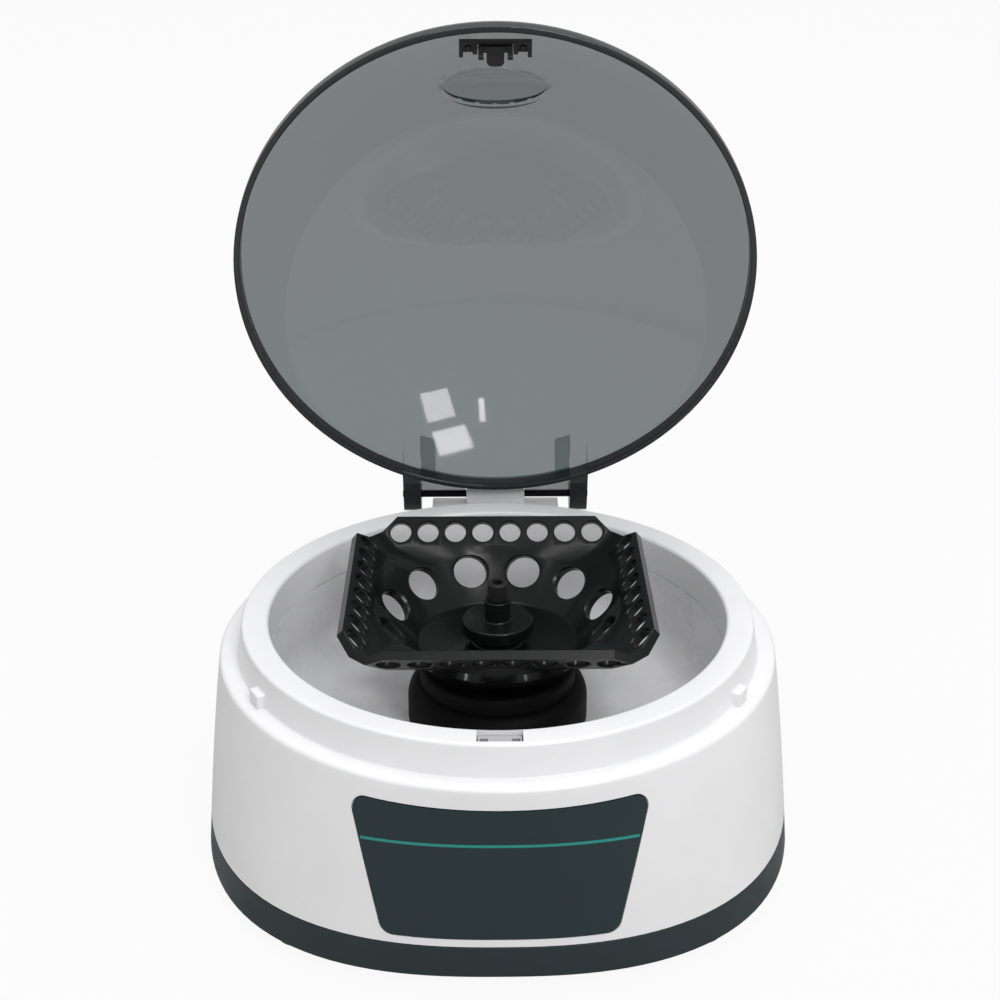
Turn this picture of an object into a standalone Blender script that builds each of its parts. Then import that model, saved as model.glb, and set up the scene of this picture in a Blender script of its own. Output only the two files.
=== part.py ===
"""A mini centrifuge for strip tubes and microtubes, modelled as its separate pieces.

Metres, +Z up. The origin is on the spin axis at the underside of the base tray,
and the front of the housing faces -Y. The lid stands open, as it does for loading.
"""

import math

import bmesh
import bpy
from mathutils import Matrix, Vector

# General fits, walls and fineness
GAP = 0.0003
WALL = 0.0022
OVERRUN = 0.004
WELD = 0.00001
STEPS = 40
MID_STEPS = 24
BEARING_STEPS = 16
SMALL_STEPS = 12
HOLE_STEPS = 8
PI = math.pi
EDGE_ANGLE = math.radians(32)

# Body outline: half width at named heights, round at the shelf and squarer at the base
BASE_HALF = 0.0910
LOW_TAPER = 0.0018
MID_TAPER = 0.0035
SHELF_TAPER = 0.0054
LOW_HALF = BASE_HALF - LOW_TAPER
MID_HALF = BASE_HALF - MID_TAPER
SHELF_HALF = BASE_HALF - SHELF_TAPER
LOW_Z = 0.0240
MID_Z = 0.0420
SHELF_Z = 0.0582
SHELF_ROUND = 0.0010
BASE_POWER = 2.54
ROUND_POWER = 2.0

# Ring round the chamber mouth
RING_LEDGE = 0.0055
RING_LEAN = 0.0023
RING_WIDE = 0.0075
RING_TOP_Z = 0.0680
RING_FOOT_R = SHELF_HALF - RING_LEDGE
RING_OUTER_R = RING_FOOT_R - RING_LEAN
RING_INNER_R = RING_OUTER_R - RING_WIDE
RING_ROUND = 0.0008
LIP_BOTTOM_Z = 0.0560

# Rim of the lid, which stands on the shelf round the ring
LID_INSET = 0.0013
LID_WALL = 0.0020
LID_R = SHELF_HALF - LID_INSET

# Two tabs on the shelf, which the shut lid passes outside
TAB_ANGLE = math.radians(-30)
TAB_LONG = 0.0060
TAB_DEEP = LID_R - LID_WALL - GAP - RING_OUTER_R
TAB_RADIUS = RING_OUTER_R + TAB_DEEP / 2
TAB_TALL = 0.0042

# Base tray
TRAY_TOP_Z = 0.0099
TRAY_FLOOR = 0.0022
TRAY_EDGE = 0.0008
VENT_LONG = 0.0180
VENT_WIDE = 0.0024
VENT_PITCH = 0.0052
VENT_COUNT = 5
VENT_Y = -0.0440

# Feet
FOOT_IN_X = 0.0330
FOOT_IN_Y = 0.0255
FOOT_X = BASE_HALF - FOOT_IN_X
FOOT_Y = BASE_HALF - FOOT_IN_Y
FOOT_R = 0.0070
FOOT_PROUD = 0.0040
FOOT_STEM_R = 0.0026
FOOT_BARB_R = 0.0033
FOOT_BARB_TALL = 0.0016
FOOT_EDGE = 0.0007

# Case screws, up through the tray into long bosses of the housing
CASE_SCREW_IN = 0.0366
CASE_SCREW_AT = BASE_HALF - CASE_SCREW_IN
CASE_BOSS_R = 0.0036
CASE_PILLAR_R = 0.0046
CASE_SCREW_R = 0.0015
CASE_HEAD_R = 0.0031
CASE_HEAD_TALL = 0.0024
CASE_HEAD_SUNK = 0.0008
CASE_SCREW_TIP_Z = 0.0230

# Chamber bowl
BOWL_FLOOR_Z = 0.0300
BOWL_BEND_R = 0.0100
BOWL_HOLE_R = 0.0230
BOWL_BEND_STEPS = 4
BOWL_POST_AT = 0.0400
BOWL_POST_R = 0.0036
BOWL_PILLAR_TOP_Z = 0.0180
BOWL_PEG_R = 0.0016
BOWL_PEG_LOW_Z = 0.0130

# Front panel, an inlay in the front wall
PANEL_TOP_Z = 0.0520
PANEL_LOW_Z = 0.0128
PANEL_TOP_HALF = 0.0412
PANEL_LOW_HALF = 0.0326
PANEL_CORNER = 0.0040
PANEL_SUNK = 0.0006
PANEL_PROUD = 0.0002
PANEL_CORNER_STEPS = 4

# Latch receiver in the front of the ring
SLOT_HALF = 0.00635
SLOT_FRONT_IN = 0.0011
SLOT_REAR_IN = 0.0007
SLOT_FRONT_Y = SLOT_FRONT_IN - RING_OUTER_R
SLOT_REAR_Y = -RING_INNER_R - SLOT_REAR_IN
RECEIVER_TOP_Z = 0.0665
RECEIVER_LOW_Z = 0.0600

# Rear panel with the power jack and the rocker switch
REAR_HALF = 0.0310
REAR_TOP_Z = 0.0307
REAR_SET_IN = 0.0085
REAR_THICK = 0.0025
REAR_FACE_Y = BASE_HALF - REAR_SET_IN
REAR_INSIDE_Y = REAR_FACE_Y - REAR_THICK
REAR_RIM = 0.0015
REAR_FIXTURE_Z = 0.0202
JACK_X = -0.0150
JACK_R = 0.0055
JACK_FLANGE_R = 0.0072
JACK_FLANGE = 0.0016
JACK_LONG = 0.0130
JACK_BORE_R = 0.0036
JACK_BORE_DEEP = 0.0105
JACK_PIN_R = 0.0010
JACK_PIN_LONG = 0.0060
JACK_NUT_R = 0.0082
JACK_NUT_THICK = 0.0018
ROCKER_X = 0.0140
ROCKER_FRAME_HALF = (0.0105, 0.0074)
ROCKER_HOLE_HALF = (0.0093, 0.0062)
ROCKER_OPEN_HALF = (0.0083, 0.0052)
ROCKER_FLANGE = 0.0016
ROCKER_DEEP = 0.0100
ROCKER_WALL = 0.0010
ROCKER_HALF = (0.0074, 0.0047)
ROCKER_PROUD = 0.0016
ROCKER_THICK = 0.0044
ROCKER_TILT = math.radians(8)

# Hinge: a block on the housing, a pin, and the barrels and arms of the lid
HINGE_BEHIND = 0.0067
HINGE_Y = LID_R + HINGE_BEHIND
HINGE_Z = 0.0660
HINGE_PIN_R = 0.0013
HINGE_PIN_HALF = 0.0330
HINGE_BLOCK_HALF = 0.0224
HINGE_BLOCK_TOP_Z = 0.0632
HINGE_BLOCK_LOW_Z = 0.0440
HINGE_BLOCK_BEHIND = 0.0052
HINGE_BLOCK_REACH = 0.0150
HINGE_BLOCK_REAR_Y = HINGE_Y + HINGE_BLOCK_BEHIND
HINGE_BLOCK_INNER_Y = HINGE_Y - HINGE_BLOCK_REACH
HINGE_TONGUE_HALF = 0.0103
HINGE_TONGUE_R = 0.0042
HINGE_SCREW_X = 0.0160
HINGE_SCREW_Z = 0.0535
HINGE_SCREW_HEAD_R = 0.0027
HINGE_SCREW_HEAD = 0.0020
HINGE_SCREW_REACH = 0.0120
HINGE_SCREW_TIP_Y = HINGE_Y - HINGE_SCREW_REACH
ARM_INNER_X = 0.0263
ARM_OUTER_X = 0.0325
ARM_EYE_R = 0.0060
ARM_TOP = 0.0042
ARM_LOW = 0.0058
ARM_REACH = 0.0230
ARM_ROOT_Y = HINGE_Y - ARM_REACH
GUSSET_INNER_X = 0.0212
GUSSET_TOP = 0.0085
GUSSET_SHORT = 0.0060
GUSSET_FOOT_Y = HINGE_Y - GUSSET_SHORT
GUSSET_SLOPE = 0.0100
LEAF_THICK = 0.0018
LEAF_NOTCH = 0.0062

# Lid
LID_OPEN = math.radians(78)
LID_SKIRT = 0.0050
LID_TALL = 0.0520
LID_DOME_STEPS = 8
GRIP_R = 0.0520
GRIP_HALF = 0.0170
GRIP_SHORT_HALF = 0.0100
GRIP_DEEP = 0.0024
GRIP_FLOOR = 0.0018
GRIP_RIB = 0.0014
GRIP_RIB_TALL = 0.0007
GRIP_RIB_COUNT = 5

# Latch inside the front of the lid, given with the lid closed
LATCH_FROM_SLOT = 0.0022
LATCH_PIVOT_Y = SLOT_REAR_Y - LATCH_FROM_SLOT
LATCH_PIVOT_Z = 0.0700
LATCH_PIN_R = 0.0005
LATCH_PIN_HALF = 0.0069
LATCH_BARREL_R = 0.0015
LATCH_BARREL_HALF = 0.0052
LATCH_POST_INNER_X = 0.0036
LATCH_POST_SHIFT = 0.0002
LATCH_POST_DEEP = 0.0016
LATCH_POST_REAR_Y = LATCH_PIVOT_Y + LATCH_POST_SHIFT
LATCH_POST_FRONT_Y = LATCH_POST_REAR_Y - LATCH_POST_DEEP
LATCH_POST_TIP_Z = 0.0603
LATCH_BAR_Z = RECEIVER_TOP_Z + GAP
LATCH_BAR_TALL = 0.0016
LATCH_TAB_HALF = 0.0027
LATCH_TAB_LONG = 0.0041
LATCH_TAB_THICK = 0.0018
LATCH_TAB_ROUND = 0.0016
LATCH_SWING = math.radians(6)
FRAME_HALF = 0.01105
FRAME_FREE = 0.0002
FRAME_THICK = 0.0009
FRAME_REAR_Y = LATCH_POST_FRONT_Y - FRAME_FREE
FRAME_FRONT_Y = FRAME_REAR_Y - FRAME_THICK
FRAME_LOW_Z = 0.0684
FRAME_TOP_Z = 0.0708
FRAME_LEG = 0.0012
FRAME_LEG_LONG = 0.0049
FRAME_LEG_REAR_Y = FRAME_FRONT_Y + FRAME_LEG_LONG
FRAME_EAR_THICK = 0.0014
FRAME_EAR_TOP_Z = 0.0716
FRAME_LUG_LOW_Z = 0.0694
FRAME_PEG_X = 0.0084
FRAME_PEG_AHEAD = 0.0003
FRAME_PEG_Y = LATCH_PIVOT_Y - FRAME_PEG_AHEAD
FRAME_BOSS_R = 0.0014
FRAME_PEG_R = 0.0006
FRAME_PEG_PROUD = 0.0005

# Lid switch under the receiver
SWITCH_X = -0.0044
SWITCH_HALF_LONG = 0.0050
SWITCH_LOW_Z = 0.0475
SWITCH_TOP_Z = 0.0540
PLUNGER_HALF = 0.0008
PLUNGER_SHIFT = 0.0002
PLUNGER_Y = LATCH_POST_FRONT_Y + PLUNGER_SHIFT
SWITCH_BEHIND = 0.0016
SWITCH_DEEP = 0.0048
SWITCH_REAR_Y = PLUNGER_Y + SWITCH_BEHIND
SWITCH_FRONT_Y = SWITCH_REAR_Y - SWITCH_DEEP
PLUNGER_TOP_Z = 0.0599
PLUNGER_TRAVEL = 0.0010
PLUNGER_FOOT = 0.0020

# Motor, its mounting plate and rubber isolators
CAN_R = 0.0210
CAN_WALL = 0.0012
CAN_TOP_Z = 0.0455
CAN_LOW_Z = 0.0120
CAP_LOW_Z = 0.0104
CAP_RIM = 0.0013
CAP_SPIGOT = 0.0018
CAP_SPIGOT_WALL = 0.0020
BEARING_R = 0.0070
BEARING_BORE_R = 0.0028
BEARING_TALL = 0.0042
BEARING_SEAT_WALL = 0.0017
BEARING_LIP_R = 0.0040
BEARING_GROOVE_R_shares = (0.30, 0.70)
BEARING_GROOVE = 0.0004
STATOR_LOW_Z = 0.0185
STATOR_TALL = 0.0185
STATOR_IRON_R = 0.0163
COIL_COUNT = 6
COIL_IN_R = 0.0126
COIL_WIDE = 0.0088
MAGNET_R = 0.0118
PLATE_R = 0.0330
PLATE_LOW_Z = 0.0085
PLATE_THICK = 0.0016
PLATE_HOLE_R = 0.0040
ISOLATOR_COUNT = 3
ISOLATOR_RING_R = 0.0275
ISOLATOR_R = 0.0044
ISOLATOR_NECK_R = 0.0030
ISOLATOR_BORE_R = 0.0018
ISOLATOR_LOW_Z = 0.0058
ISOLATOR_TOP_Z = 0.0128
ISOLATOR_SCREW_R = 0.0013
ISOLATOR_HEAD_R = 0.0034
ISOLATOR_HEAD = 0.0018
ISOLATOR_PILLAR_R = 0.0040
MOTOR_SCREW_COUNT = 2
MOTOR_SCREW_TURN = math.radians(34)
MOTOR_SCREW_RING_R = 0.0155
MOTOR_SCREW_HEAD_R = 0.0024
MOTOR_SCREW_HEAD = 0.0016
MOTOR_SCREW_R = 0.0012
MOTOR_SCREW_LONG = 0.0042

# Rubber boot over the motor
BOOT_TOP_Z = 0.0490
BOOT_UPPER_R = 0.0243
BOOT_FLANGE_R = 0.02825
BOOT_FLANGE_TOP_Z = 0.0375
BOOT_SHOULDER_Z = 0.0436
BOOT_ROOF = 0.0032
BOOT_HOLE_R = 0.0032
BOOT_ROUND = 0.0012
BOOT_SHOULDER_STEPS = 4

# Spindle
SHAFT_R = 0.0025
SHAFT_LOW_Z = 0.0125
COLLAR_R = 0.0060
COLLAR_LOW_Z = 0.0495
COLLAR_TOP_Z = 0.0520
NOSE_R = 0.0042
NOSE_TOP_Z = 0.0585

# Rotor: round cone with tube holes, and four flanges with strip holes
ROTOR_TOP_Z = 0.07815
ROTOR_TOP_HALF = 0.0449
ROTOR_SLANT = 0.0074
ROTOR_EDGE_IN = 0.01224
ROTOR_TIP_IN = 0.0076
ROTOR_LAND = 0.0004
ROTOR_CONE_DEEP = 0.0122
ROTOR_EDGE_HALF = ROTOR_TOP_HALF - ROTOR_EDGE_IN
ROTOR_TIP_HALF = ROTOR_TOP_HALF - ROTOR_TIP_IN
ROTOR_TIP_shares = 0.50
ROTOR_FLANGE_THICK = 0.0020
ROTOR_CONE_TOP_R = ROTOR_TOP_HALF - ROTOR_SLANT - ROTOR_LAND
ROTOR_CONE_LOW_R = ROTOR_CONE_TOP_R - ROTOR_CONE_DEEP
ROTOR_FLOOR_Z = 0.0565
ROTOR_HUB_R = 0.0076
ROTOR_HUB_TOP_Z = 0.0600
ROTOR_HUB_LOW_Z = 0.0523
ROTOR_HUB_OUTER_R = 0.0100
ROTOR_SKIN = 0.0026
ROTOR_SIDE_PARTS = 8
STRIP_HOLES = 8
STRIP_PITCH = 0.0090
STRIP_HOLE_R = 0.0035
TUBE_HOLES = 12
TUBE_HOLE_R = 0.0055
TUBE_RING_IN = 0.0042
TUBE_RING_R = ROTOR_CONE_TOP_R - TUBE_RING_IN
TUBE_TURN = math.radians(15)
CONE_TILT = math.radians(45)

# Clamp disc and screw on top of the rotor
CLAMP_R = 0.0110
CLAMP_LOW_Z = 0.0603
CLAMP_TOP_Z = 0.0643
CLAMP_BOSS_R = 0.00415
CLAMP_BOSS_TOP_Z = 0.0710
CLAMP_EDGE = 0.0005
CLAMP_SCREW_R = 0.0020
CLAMP_HEAD_R = 0.00315
CLAMP_HEAD_TOP_Z = 0.0768
CLAMP_TIP_Z = 0.0507
CLAMP_SOCKET_R = 0.0018
CLAMP_SOCKET_DEEP = 0.0028
HEX = 6

# Control board and what is on it
BOARD_HALF = 0.0330
BOARD_IN = 0.0270
BOARD_DEEP = 0.0275
BOARD_REAR_Y = BASE_HALF - BOARD_IN
BOARD_FRONT_Y = BOARD_REAR_Y - BOARD_DEEP
BOARD_LOW_Z = 0.0078
BOARD_THICK = 0.0016
BOARD_HOLE_IN = 0.0034
BOARD_SCREW_R = 0.0011
BOARD_SCREW_HEAD_R = 0.0022
BOARD_SCREW_HEAD = 0.0014
BOARD_SCREW_TIP_Z = 0.0040
STANDOFF_R = 0.0026
CAPACITOR_R = 0.0042
CAPACITOR_TALL = 0.0120
CAPACITOR_PLACE_shares = (-0.62, 0.34)
SINK_PLACE_shares = (-0.40, 0.70)
SINK_HALF = (0.0070, 0.0040)
SINK_TALL = 0.0110
SINK_FINS = 5
SINK_BASE = 0.0016
SINK_FIN = 0.0009
CHIP_PLACE_shares = (0.16, 0.66)
CHIP_HALF = (0.0036, 0.0028)
CHIP_TALL = 0.0018
TERMINAL_PLACE_shares = (0.40, 0.15)
TERMINAL_HALF = (0.0100, 0.0030)
TERMINAL_WAY_shares = (-0.6, 0.6)
TERMINAL_TALL = 0.0068

# Leads inside the case
LEAD_R = 0.0009
LEAD_STEP = 0.0040
LEAD_POINTS = 14


def clear_scene():
    """Remove what the scene holds, so that a rerun starts empty."""
    for item in list(bpy.data.objects):
        bpy.data.objects.remove(item, do_unlink=True)


def make_collection(name):
    group = bpy.data.collections.new(name)
    bpy.context.scene.collection.children.link(group)
    return group


def finish(name, colour, roughness, metallic=0.0, alpha=1.0):
    """A Principled material in one colour."""
    material = bpy.data.materials.new(name)
    material.use_nodes = True
    shader = material.node_tree.nodes["Principled BSDF"]
    shader.inputs["Base Color"].default_value = (*colour, 1.0)
    shader.inputs["Roughness"].default_value = roughness
    shader.inputs["Metallic"].default_value = metallic
    shader.inputs["Alpha"].default_value = alpha
    return material


clear_scene()
PARTS = make_collection("mini_centrifuge")
CUTTERS = make_collection("cutters")
WHITE = finish("white_moulding", (0.86, 0.86, 0.87), 0.35)
PALE = finish("chamber_white", (0.74, 0.74, 0.76), 0.35)
GREY = finish("receiver_grey", (0.55, 0.55, 0.56), 0.45)
SLATE = finish("slate_moulding", (0.030, 0.042, 0.050), 0.45)
LABEL = finish("slate_panel", (0.027, 0.040, 0.047), 0.40)
SMOKE = finish("smoked_lid", (0.12, 0.15, 0.16), 0.08, alpha=0.45)
BLACK = finish("black_moulding", (0.012, 0.013, 0.013), 0.22)
MATT = finish("matt_black", (0.006, 0.006, 0.006), 0.60)
RUBBER = finish("black_rubber", (0.010, 0.010, 0.010), 0.80)
STEEL = finish("bright_steel", (0.62, 0.62, 0.62), 0.25, metallic=1.0)
PLATED = finish("plated_steel", (0.50, 0.50, 0.51), 0.35, metallic=1.0)
IRON = finish("motor_iron", (0.16, 0.16, 0.17), 0.55, metallic=1.0)
COPPER = finish("copper_winding", (0.60, 0.25, 0.12), 0.35, metallic=1.0)
ALLOY = finish("aluminium", (0.70, 0.71, 0.72), 0.35, metallic=1.0)
BOARD = finish("board_green", (0.02, 0.12, 0.06), 0.40)
LEAD_RED = finish("red_lead", (0.45, 0.03, 0.02), 0.45)
LEAD_BLUE = finish("blue_lead", (0.02, 0.07, 0.35), 0.45)
LEAD_BLACK = finish("black_lead", (0.02, 0.02, 0.02), 0.45)


def place(name, mesh, material, at, cutter=False):
    """Put a mesh in the scene as a part, or as a hidden cutter."""
    item = bpy.data.objects.new(name, mesh)
    item.location = at
    if cutter:
        CUTTERS.objects.link(item)
        item.display_type = "WIRE"
        item.hide_render = True
        return item
    PARTS.objects.link(item)
    mesh.materials.append(material)
    mesh.shade_smooth()
    mesh.set_sharp_from_angle(angle=EDGE_ANGLE)
    return item


def mesh_from(name, shape):
    mesh = bpy.data.meshes.new(name)
    bmesh.ops.recalc_face_normals(shape, faces=shape.faces)
    shape.to_mesh(mesh)
    shape.free()
    return mesh


def box(name, low, high, material=None):
    """A block between two corners; without a material it is a cutter."""
    low, high = Vector(low), Vector(high)
    shape = bmesh.new()
    bmesh.ops.create_cube(shape, size=1)
    bmesh.ops.scale(shape, vec=high - low, verts=shape.verts)
    return place(name, mesh_from(name, shape), material, (low + high) / 2, material is None)


def add_rod(shape, start, end, radius, steps):
    """Add a cylinder between two points to a mesh."""
    start, end = Vector(start), Vector(end)
    along = end - start
    turn = along.to_track_quat("Z", "Y").to_matrix().to_4x4()
    spot = Matrix.Translation((start + end) / 2) @ turn
    bmesh.ops.create_cone(
        shape, cap_ends=True, segments=steps, radius1=radius, radius2=radius,
        depth=along.length, matrix=spot,
    )


def rods(name, ends, radius, material=None, steps=SMALL_STEPS):
    """One object that holds a cylinder for each pair of ends."""
    shape = bmesh.new()
    for start, end in ends:
        add_rod(shape, start, end, radius, steps)
    return place(name, mesh_from(name, shape), material, (0, 0, 0), material is None)


def rod(name, start, end, radius, material=None, steps=SMALL_STEPS):
    return rods(name, [(start, end)], radius, material, steps)


def boxes(name, corners, material=None):
    """One object that holds a block for each pair of corners."""
    shape = bmesh.new()
    for low, high in corners:
        low, high = Vector(low), Vector(high)
        made = bmesh.ops.create_cube(shape, size=1)["verts"]
        bmesh.ops.scale(shape, vec=high - low, verts=made)
        bmesh.ops.translate(shape, vec=(low + high) / 2, verts=made)
    return place(name, mesh_from(name, shape), material, (0, 0, 0), material is None)


def prism(name, outline, start, end, axis, material=None):
    """A flat outline, swept along one axis from start to end."""
    spots = {
        "X": lambda a, b: (start, a, b),
        "Y": lambda a, b: (a, start, b),
        "Z": lambda a, b: (a, b, start),
    }
    shape = bmesh.new()
    face = shape.faces.new([shape.verts.new(spots[axis](a, b)) for a, b in outline])
    swept = bmesh.ops.extrude_face_region(shape, geom=[face])["geom"]
    moved = [v for v in swept if isinstance(v, bmesh.types.BMVert)]
    step = Vector([end - start if axis == way else 0 for way in "XYZ"])
    bmesh.ops.translate(shape, vec=step, verts=moved)
    return place(name, mesh_from(name, shape), material, (0, 0, 0), material is None)


def turned(name, profile, material=None, closed=True, steps=STEPS, at=(0, 0, 0)):
    """A profile of (radius, height), turned about the vertical line through at."""
    mesh = bpy.data.meshes.new(name)
    points = [(radius, 0, height) for radius, height in profile]
    links = [(k, k + 1) for k in range(len(points) - 1)]
    if closed:
        links.append((len(points) - 1, 0))
    mesh.from_pydata(points, links, [])
    item = bpy.data.objects.new(name, mesh)
    item.location = at
    turn = item.modifiers.new("turn", "SCREW")
    turn.steps = steps
    turn.render_steps = steps
    turn.use_merge_vertices = True
    turn.merge_threshold = WELD
    turn.use_smooth_shade = True
    if material is None:
        CUTTERS.objects.link(item)
        item.display_type = "WIRE"
        item.hide_render = True
        return item
    PARTS.objects.link(item)
    mesh.materials.append(material)
    return item


def combine(item, other, operation):
    """A Boolean with another object, which becomes a guide."""
    if other.name in PARTS.objects:
        PARTS.objects.unlink(other)
        CUTTERS.objects.link(other)
        other.display_type = "WIRE"
        other.hide_render = True
    step = item.modifiers.new(other.name, "BOOLEAN")
    step.operation = operation
    step.solver = "EXACT"
    step.object = other
    return item


def cut(item, other):
    return combine(item, other, "DIFFERENCE")


def join(item, other):
    return combine(item, other, "UNION")


def common(item, other):
    return combine(item, other, "INTERSECT")


def body_half(height):
    """Half width of the body at a height."""
    rows = ((0, BASE_HALF), (LOW_Z, LOW_HALF), (MID_Z, MID_HALF), (SHELF_Z, SHELF_HALF))
    for (low, half_low), (high, half_high) in zip(rows, rows[1:]):
        if height <= high:
            share = (height - low) / (high - low)
            return half_low + share * (half_high - half_low)
    return SHELF_HALF


def body_power(height):
    """Squareness of the body at a height: 2 is a circle."""
    share = max(0, 1 - height / SHELF_Z)
    return ROUND_POWER + (BASE_POWER - ROUND_POWER) * share


def outline_ring(half, power, height):
    """Points round a rounded square, evenly spaced in angle."""
    points = []
    for k in range(STEPS):
        angle = 2 * PI * k / STEPS
        across, along = abs(math.cos(angle)), abs(math.sin(angle))
        radius = half / (across**power + along**power) ** (1 / power)
        points.append((radius * math.cos(angle), radius * math.sin(angle), height))
    return points


def skin_rings(shape, rings, closed):
    """Join rings of equal count with faces, and cap the two ends of an open run."""
    rows = [[shape.verts.new(point) for point in ring] for ring in rings]
    pairs = list(zip(rows, rows[1:]))
    if closed:
        pairs.append((rows[-1], rows[0]))
    for lower, upper in pairs:
        count = len(lower)
        for k in range(count):
            after = (k + 1) % count
            shape.faces.new((lower[k], lower[after], upper[after], upper[k]))
    if not closed:
        shape.faces.new(list(reversed(rows[0])))
        shape.faces.new(rows[-1])


def loft(name, sections, material=None, closed=True):
    """A body through rounded squares given as (half width, power, height)."""
    shape = bmesh.new()
    skin_rings(shape, [outline_ring(*section) for section in sections], closed)
    return place(name, mesh_from(name, shape), material, (0, 0, 0), material is None)


def body_sections(offset, low, high):
    """Sections up the outer surface of the body, moved out by an offset."""
    heights = [low] + [z for z in (LOW_Z, MID_Z) if low < z < high] + [high]
    return [(body_half(z) + offset, body_power(z), z) for z in heights]


def axis_empty(name, at, parent=None, parent_at=(0, 0, 0)):
    """An empty on a joint's axis."""
    empty = bpy.data.objects.new(name, None)
    PARTS.objects.link(empty)
    empty.parent = parent
    empty.location = Vector(at) - Vector(parent_at)
    return empty


def ride(item, empty, origin):
    """Parent a piece, and the guides that shape it, to the empty on its axis."""
    pieces = [item] + [m.object for m in item.modifiers if m.type == "BOOLEAN"]
    for piece in pieces:
        if piece.parent is None:
            piece.parent = empty
            piece.location = piece.location - Vector(origin)
    return item


def rounded_outline(corners, radius, steps):
    """An outline whose corners are arcs."""
    points = []
    count = len(corners)
    for k in range(count):
        here = Vector(corners[k])
        before = (Vector(corners[k - 1]) - here).normalized()
        after = (Vector(corners[(k + 1) % count]) - here).normalized()
        half = before.angle(after) / 2
        centre = here + (before + after).normalized() * radius / math.sin(half)
        reach = radius / math.tan(half)
        first = here + before * reach - centre
        last = here + after * reach - centre
        for j in range(steps + 1):
            mixed = first.lerp(last, j / steps).normalized() * radius
            points.append(tuple(centre + mixed))
    return points


def polar(radius, angle, height):
    return (radius * math.cos(angle), radius * math.sin(angle), height)


def corners_of(x, y):
    return [(x, y), (-x, y), (-x, -y), (x, -y)]


def upright_rods(name, places, low, high, radius, material=None, steps=SMALL_STEPS):
    ends = [((x, y, low), (x, y, high)) for x, y in places]
    return rods(name, ends, radius, material, steps)


def drills(name, holes, low, high):
    """Cutter of upright holes, each given as a place and a radius."""
    shape = bmesh.new()
    for (x, y), radius in holes:
        add_rod(shape, (x, y, low), (x, y, high), radius, SMALL_STEPS)
    return place(name, mesh_from(name, shape), None, (0, 0, 0), True)


def screw(name, spot, head, tip_z, shank_r):
    """An upright screw: head is (low, high, radius), and tip_z ends its shank."""
    low, high, radius = head
    shank = [(shank_r, high), (shank_r, tip_z), (0, tip_z)]
    if tip_z > high:
        profile = list(reversed(shank)) + [(radius, high), (radius, low), (0, low)]
    else:
        shank[0] = (shank_r, low)
        profile = [(0, high), (radius, high), (radius, low)] + shank
    return turned(name, profile, STEEL, closed=False, steps=HOLE_STEPS, at=(*spot, 0))


def build_upper_housing():
    """White shell: flared wall, shelf for the lid, and the ring round the chamber."""
    bottom = TRAY_TOP_Z + GAP
    roof = LIP_BOTTOM_Z
    outer = body_sections(0, bottom, SHELF_Z - SHELF_ROUND)
    inner = body_sections(-WALL, bottom, roof)
    over = [
        (SHELF_HALF - SHELF_ROUND, ROUND_POWER, SHELF_Z),
        (RING_FOOT_R, ROUND_POWER, SHELF_Z),
        (RING_OUTER_R + RING_ROUND, ROUND_POWER, RING_TOP_Z - RING_ROUND),
        (RING_OUTER_R, ROUND_POWER, RING_TOP_Z),
        (RING_INNER_R + RING_ROUND, ROUND_POWER, RING_TOP_Z),
        (RING_INNER_R, ROUND_POWER, RING_TOP_Z - RING_ROUND),
        (RING_INNER_R, ROUND_POWER, roof),
        (RING_INNER_R + WALL, ROUND_POWER, roof),
        (RING_INNER_R + WALL, ROUND_POWER, RING_TOP_Z - WALL),
        (RING_OUTER_R - WALL, ROUND_POWER, RING_TOP_Z - WALL),
        (RING_FOOT_R - WALL, ROUND_POWER, roof),
    ]
    housing = loft("upper_housing", outer + over + list(reversed(inner)), WHITE)
    add_shelf_tabs(housing)
    posts = corners_of(CASE_SCREW_AT, CASE_SCREW_AT)
    boss_low = TRAY_TOP_Z + 2 * GAP
    join(housing, upright_rods("case_bosses", posts, boss_low, roof + GAP, CASE_BOSS_R))
    hole_top = CASE_SCREW_TIP_Z + WALL / 2
    hole_r = CASE_SCREW_R + GAP
    cut(housing, upright_rods("case_boss_holes", posts, 0, hole_top, hole_r, None, HOLE_STEPS))
    cut(housing, box(
        "latch_slot", (-SLOT_HALF, SLOT_FRONT_Y, RECEIVER_LOW_Z - GAP),
        (SLOT_HALF, SLOT_REAR_Y, RING_TOP_Z + OVERRUN),
    ))
    cut(housing, panel_piece("panel_pocket", GAP, -PANEL_SUNK - GAP, OVERRUN))
    cut(housing, box(
        "rear_notch", (-REAR_HALF - GAP, REAR_INSIDE_Y - OVERRUN, 0),
        (REAR_HALF + GAP, BASE_HALF + OVERRUN, REAR_TOP_Z + GAP),
    ))
    cut(housing, hinge_screw_holes("hinge_screw_holes"))
    return housing


def add_shelf_tabs(housing):
    """Two small blocks that stand on the shelf beside the ring."""
    for name, side in (("tab_left", -1), ("tab_right", 1)):
        tab = box(
            name, (-TAB_DEEP / 2, -TAB_LONG / 2, -GAP), (TAB_DEEP / 2, TAB_LONG / 2, TAB_TALL)
        )
        spot = polar(TAB_RADIUS, TAB_ANGLE, SHELF_Z)
        tab.location = Vector((side * spot[0], spot[1], SHELF_Z + (TAB_TALL - GAP) / 2))
        tab.rotation_euler.z = side * TAB_ANGLE
        join(housing, tab)


def panel_outline(grow):
    """Rounded trapezoid of the front panel, seen from the front."""
    corners = [
        (-PANEL_TOP_HALF - grow, PANEL_TOP_Z + grow),
        (-PANEL_LOW_HALF - grow, PANEL_LOW_Z - grow),
        (PANEL_LOW_HALF + grow, PANEL_LOW_Z - grow),
        (PANEL_TOP_HALF + grow, PANEL_TOP_Z + grow),
    ]
    return rounded_outline(corners, PANEL_CORNER, PANEL_CORNER_STEPS)


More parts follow.
